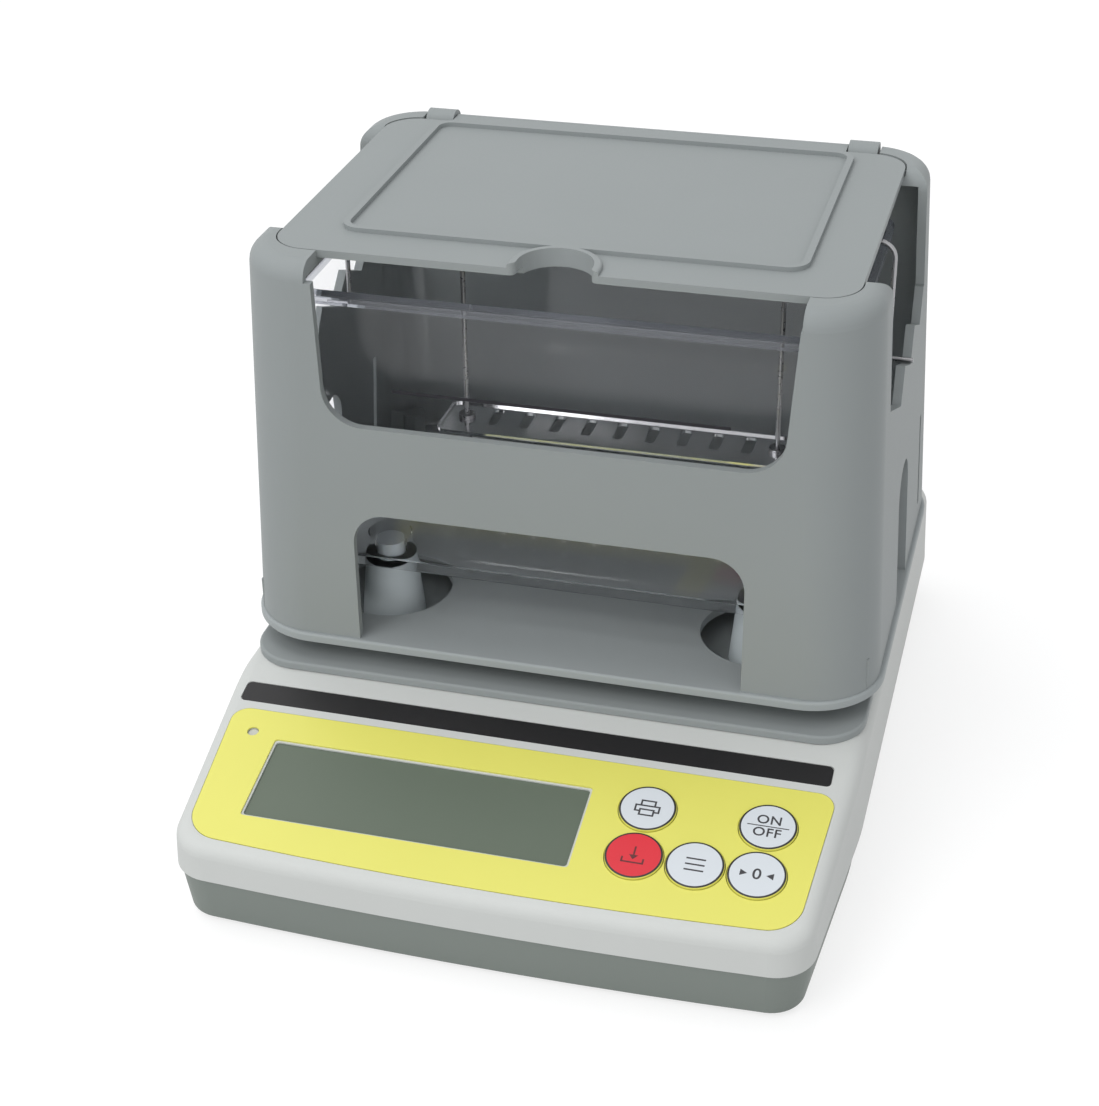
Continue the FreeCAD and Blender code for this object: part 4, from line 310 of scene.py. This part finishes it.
def lettering(name, words, height, matrix, thickness):
    """Plain lettering as a mesh, centred on its place; its height in millimetres."""
    curve = bpy.data.curves.new(name + "_curve", "FONT")
    curve.body = words
    curve.size = height * MM / CAPITAL
    curve.align_x = "CENTER"
    curve.align_y = "CENTER"
    curve.extrude = thickness
    curve.offset = BOLD * MM
    curve.space_character = SPACING
    source = bpy.data.objects.new(name + "_source", curve)
    bpy.context.scene.collection.objects.link(source)
    shown = source.evaluated_get(bpy.context.evaluated_depsgraph_get())
    mesh = bpy.data.meshes.new_from_object(shown)
    mesh.materials.clear()
    bpy.data.objects.remove(source)
    obj = bpy.data.objects.new(name, mesh)
    obj.matrix_world = matrix
    return obj


def bar(x0, y0, x1, y1):
    """Outline of an upright rectangle."""
    return [(x0, y0), (x1, y0), (x1, y1), (x0, y1)]


# generic signs in place of words, in millimetres round the middle of the key
SIGNS = {
    # a printer: its body, the paper above it and the page that comes out
    "key_print": [
        bar(-3.6, -1.6, -3.6 + LINE, 1.0), bar(3.6 - LINE, -1.6, 3.6, 1.0),
        bar(-3.6 + LINE, 1.0 - LINE, 3.6 - LINE, 1.0),
        bar(-3.6 + LINE, -1.6, -2.2, -1.6 + LINE), bar(2.2, -1.6, 3.6 - LINE, -1.6 + LINE),
        bar(-2.2, 1.0, -2.2 + LINE, 2.8), bar(2.2 - LINE, 1.0, 2.2, 2.8),
        bar(-2.2 + LINE, 2.8 - LINE, 2.2 - LINE, 2.8),
        bar(-2.2, -2.9, -2.2 + LINE, -0.4), bar(2.2 - LINE, -2.9, 2.2, -0.4),
        bar(-2.2 + LINE, -2.9, 2.2 - LINE, -2.9 + LINE),
        bar(-2.2 + LINE, -0.4 - LINE, 2.2 - LINE, -0.4)],
    # an arrow into a tray
    "key_memory": [
        bar(-LINE / 2, 0.0, LINE / 2, 3.0), [(-1.3, 0.0), (0, -1.6), (1.3, 0.0)],
        bar(-3.2, -2.9, 3.2, -2.9 + LINE), bar(-3.2, -2.9 + LINE, -3.2 + LINE, -1.0),
        bar(3.2 - LINE, -2.9 + LINE, 3.2, -1.0)],
    # three lines
    "key_function": [
        bar(-2.7, 1.7, 2.7, 1.7 + LINE), bar(-2.7, -LINE / 2, 2.7, LINE / 2),
        bar(-2.7, -1.7 - LINE, 2.7, -1.7)],
    # two arrowheads, which point at the 0
    "key_zero": [
        [(-4.6, 1.1), (-4.6, -1.1), (-2.6, 0)], [(4.6, 1.1), (2.6, 0), (4.6, -1.1)]],
    # the line between ON and OFF
    "key_on_off": [bar(-5.8, -0.16, 5.8, 0.16)],
}
# words, how far up from the middle of the key they stand, and their height, in millimetres
WORDS = {"key_zero": [("0", 0.0, 3.6)], "key_on_off": [("ON", 2.2, 3.0), ("OFF", -2.3, 3.0)]}
FILL_LINE = bar(-49.3, -0.5, 49.2, 0.5)

ink = moulded("print_ink", (0.035, 0.034, 0.04), (0.4, 0.5), 0.3, 0.004)
ink_on_red = moulded("print_ink_on_red", (0.11, 0.012, 0.016), (0.4, 0.5), 0.3, 0.004)
for key in KEYS:
    colour = ink_on_red if key == "key_memory" else ink
    on_key = PANEL @ Matrix.Translation((*key_place(key), KEY_TOP - PRINT / 2))
    link(flat_shapes(key + "_sign", SIGNS[key], on_key, PRINT), colour, key)
    for index, (words, up, height) in enumerate(WORDS.get(key, [])):
        place = on_key @ Matrix.Translation((0, up * MM, PRINT / 2))
        link(lettering(f"{key}_word_{index}", words, height, place, PRINT / 2), colour, key)

# the fill line lies on the tank's front wall, half sunk in it
on_tank = (Matrix.Translation((0, TANK_FRONT_Y, FILL_LINE_Z))
           @ Matrix.Rotation(math.pi / 2 + TANK_LEAN, 4, "X")
           @ Matrix.Translation((0, 0, -PRINT)))
link(flat_shapes("fill_line", [FILL_LINE], on_tank, 2 * PRINT), ink, "tank")

# ---------------------------------------------------------------------------- stage and light
FLOOR_REACH = 6.0
# the floor as it lights the object, and as it is seen: a glow with the shadow under it
FLOOR_PALE, FLOOR_SHADED, FLOOR_GLOW = 0.6, 0.35, 0.72
ROOM_COLOUR, ROOM_STRENGTH = (0.98, 0.99, 1.0), 0.70
LAMP_SIZE, LAMP_TARGET = 1.0, (0, 0, 0.08)
# place in metres and power in watts
LAMPS = {"front_light": ((-0.7, -1.1, 1.2), 8.6), "top_light": ((-0.5, 0.2, 1.5), 6.0),
         "low_light": ((0.5, -1.4, 0.4), 2.6)}
CAMERA_PLACE = (0.1398, -0.5428, 0.3966)
CAMERA_YAW, CAMERA_PITCH, CAMERA_ROLL = 0.27518503, 0.52530726, -0.01568948
SENSOR_WIDTH, FOCAL_LENGTH = 36.0, 69.502
CAMERA_SHIFT = (0.00763, -0.01236)
NEAREST, FARTHEST = 0.01, 50


def looked_at(nodes, links):
    """1 where the camera, a mirror or clear plastic looks, 0 where a surface takes light."""
    path = nodes.new("ShaderNodeLightPath")
    value = path.outputs["Is Camera Ray"]
    for kind in ("Is Glossy Ray", "Is Transmission Ray"):
        either = nodes.new("ShaderNodeMath")
        either.operation = "MAXIMUM"
        links.new(value, either.inputs[0])
        links.new(path.outputs[kind], either.inputs[1])
        value = either.outputs["Value"]
    return value


def floor():
    """Plain pale floor, seen as white with the object's shadow on it."""
    mesh = bpy.data.meshes.new("floor")
    corners = [(-1, -1), (1, -1), (1, 1), (-1, 1)]
    mesh.from_pydata([(x * FLOOR_REACH, y * FLOOR_REACH, 0) for x, y in corners], [],
                     [(0, 1, 2, 3)])
    obj = bpy.data.objects.new("floor", mesh)
    bpy.context.scene.collection.objects.link(obj)
    material = bpy.data.materials.new("floor")
    material.use_nodes = True
    nodes, links = material.node_tree.nodes, material.node_tree.links
    nodes.clear()
    plain = nodes.new("ShaderNodeBsdfDiffuse")
    plain.inputs["Color"].default_value = (FLOOR_PALE, FLOOR_PALE, FLOOR_PALE, 1)
    shaded = nodes.new("ShaderNodeBsdfDiffuse")
    shaded.inputs["Color"].default_value = (FLOOR_SHADED, FLOOR_SHADED, FLOOR_SHADED, 1)
    glow = nodes.new("ShaderNodeEmission")
    glow.inputs["Strength"].default_value = FLOOR_GLOW
    white = nodes.new("ShaderNodeAddShader")
    links.new(shaded.outputs["BSDF"], white.inputs[0])
    links.new(glow.outputs["Emission"], white.inputs[1])
    mix = nodes.new("ShaderNodeMixShader")
    links.new(looked_at(nodes, links), mix.inputs["Fac"])
    links.new(plain.outputs["BSDF"], mix.inputs[1])
    links.new(white.outputs["Shader"], mix.inputs[2])
    out = nodes.new("ShaderNodeOutputMaterial")
    links.new(mix.outputs["Shader"], out.inputs["Surface"])
    obj.data.materials.append(material)


def surroundings():
    """Plain soft room light, and a white backdrop."""
    world = bpy.data.worlds.new("studio")
    bpy.context.scene.world = world
    world.use_nodes = True
    nodes, links = world.node_tree.nodes, world.node_tree.links
    nodes.clear()
    room = nodes.new("ShaderNodeBackground")
    room.inputs["Color"].default_value = (*ROOM_COLOUR, 1)
    room.inputs["Strength"].default_value = ROOM_STRENGTH
    white = nodes.new("ShaderNodeBackground")
    white.inputs["Color"].default_value = (1, 1, 1, 1)
    white.inputs["Strength"].default_value = 1.0
    mix = nodes.new("ShaderNodeMixShader")
    links.new(looked_at(nodes, links), mix.inputs["Fac"])
    links.new(room.outputs["Background"], mix.inputs[1])
    links.new(white.outputs["Background"], mix.inputs[2])
    out = nodes.new("ShaderNodeOutputWorld")
    links.new(mix.outputs["Shader"], out.inputs["Surface"])


def lamp(name, place, power):
    """Soft square lamp, turned to the object."""
    data = bpy.data.lights.new(name, "AREA")
    data.shape = "SQUARE"
    data.size = LAMP_SIZE
    data.energy = power
    obj = bpy.data.objects.new(name, data)
    obj.location = place
    obj.rotation_mode = "QUATERNION"
    obj.rotation_quaternion = (Vector(LAMP_TARGET) - Vector(place)).to_track_quat("-Z", "Y")
    bpy.context.scene.collection.objects.link(obj)


def camera():
    """The photograph's camera: turned to the left and down, rolled a touch."""
    across = math.cos(CAMERA_PITCH)
    ahead = Vector((-math.sin(CAMERA_YAW) * across, math.cos(CAMERA_YAW) * across,
                    -math.sin(CAMERA_PITCH)))
    level = Vector((math.cos(CAMERA_YAW), math.sin(CAMERA_YAW), 0))
    above = level.cross(ahead)
    right = math.cos(CAMERA_ROLL) * level + math.sin(CAMERA_ROLL) * above
    up = -math.sin(CAMERA_ROLL) * level + math.cos(CAMERA_ROLL) * above
    data = bpy.data.cameras.new("camera")
    data.sensor_fit = "HORIZONTAL"
    data.sensor_width = SENSOR_WIDTH
    data.lens = FOCAL_LENGTH
    data.shift_x, data.shift_y = CAMERA_SHIFT
    data.clip_start, data.clip_end = NEAREST, FARTHEST
    obj = bpy.data.objects.new("camera", data)
    turn = Matrix((right, up, -ahead)).transposed().to_4x4()
    obj.matrix_world = Matrix.Translation(CAMERA_PLACE) @ turn
    bpy.context.scene.collection.objects.link(obj)
    bpy.context.scene.camera = obj


floor()
surroundings()
for lamp_name, (lamp_place, lamp_power) in LAMPS.items():
    lamp(lamp_name, lamp_place, lamp_power)
camera()
bpy.context.scene.view_settings.view_transform = "Standard"
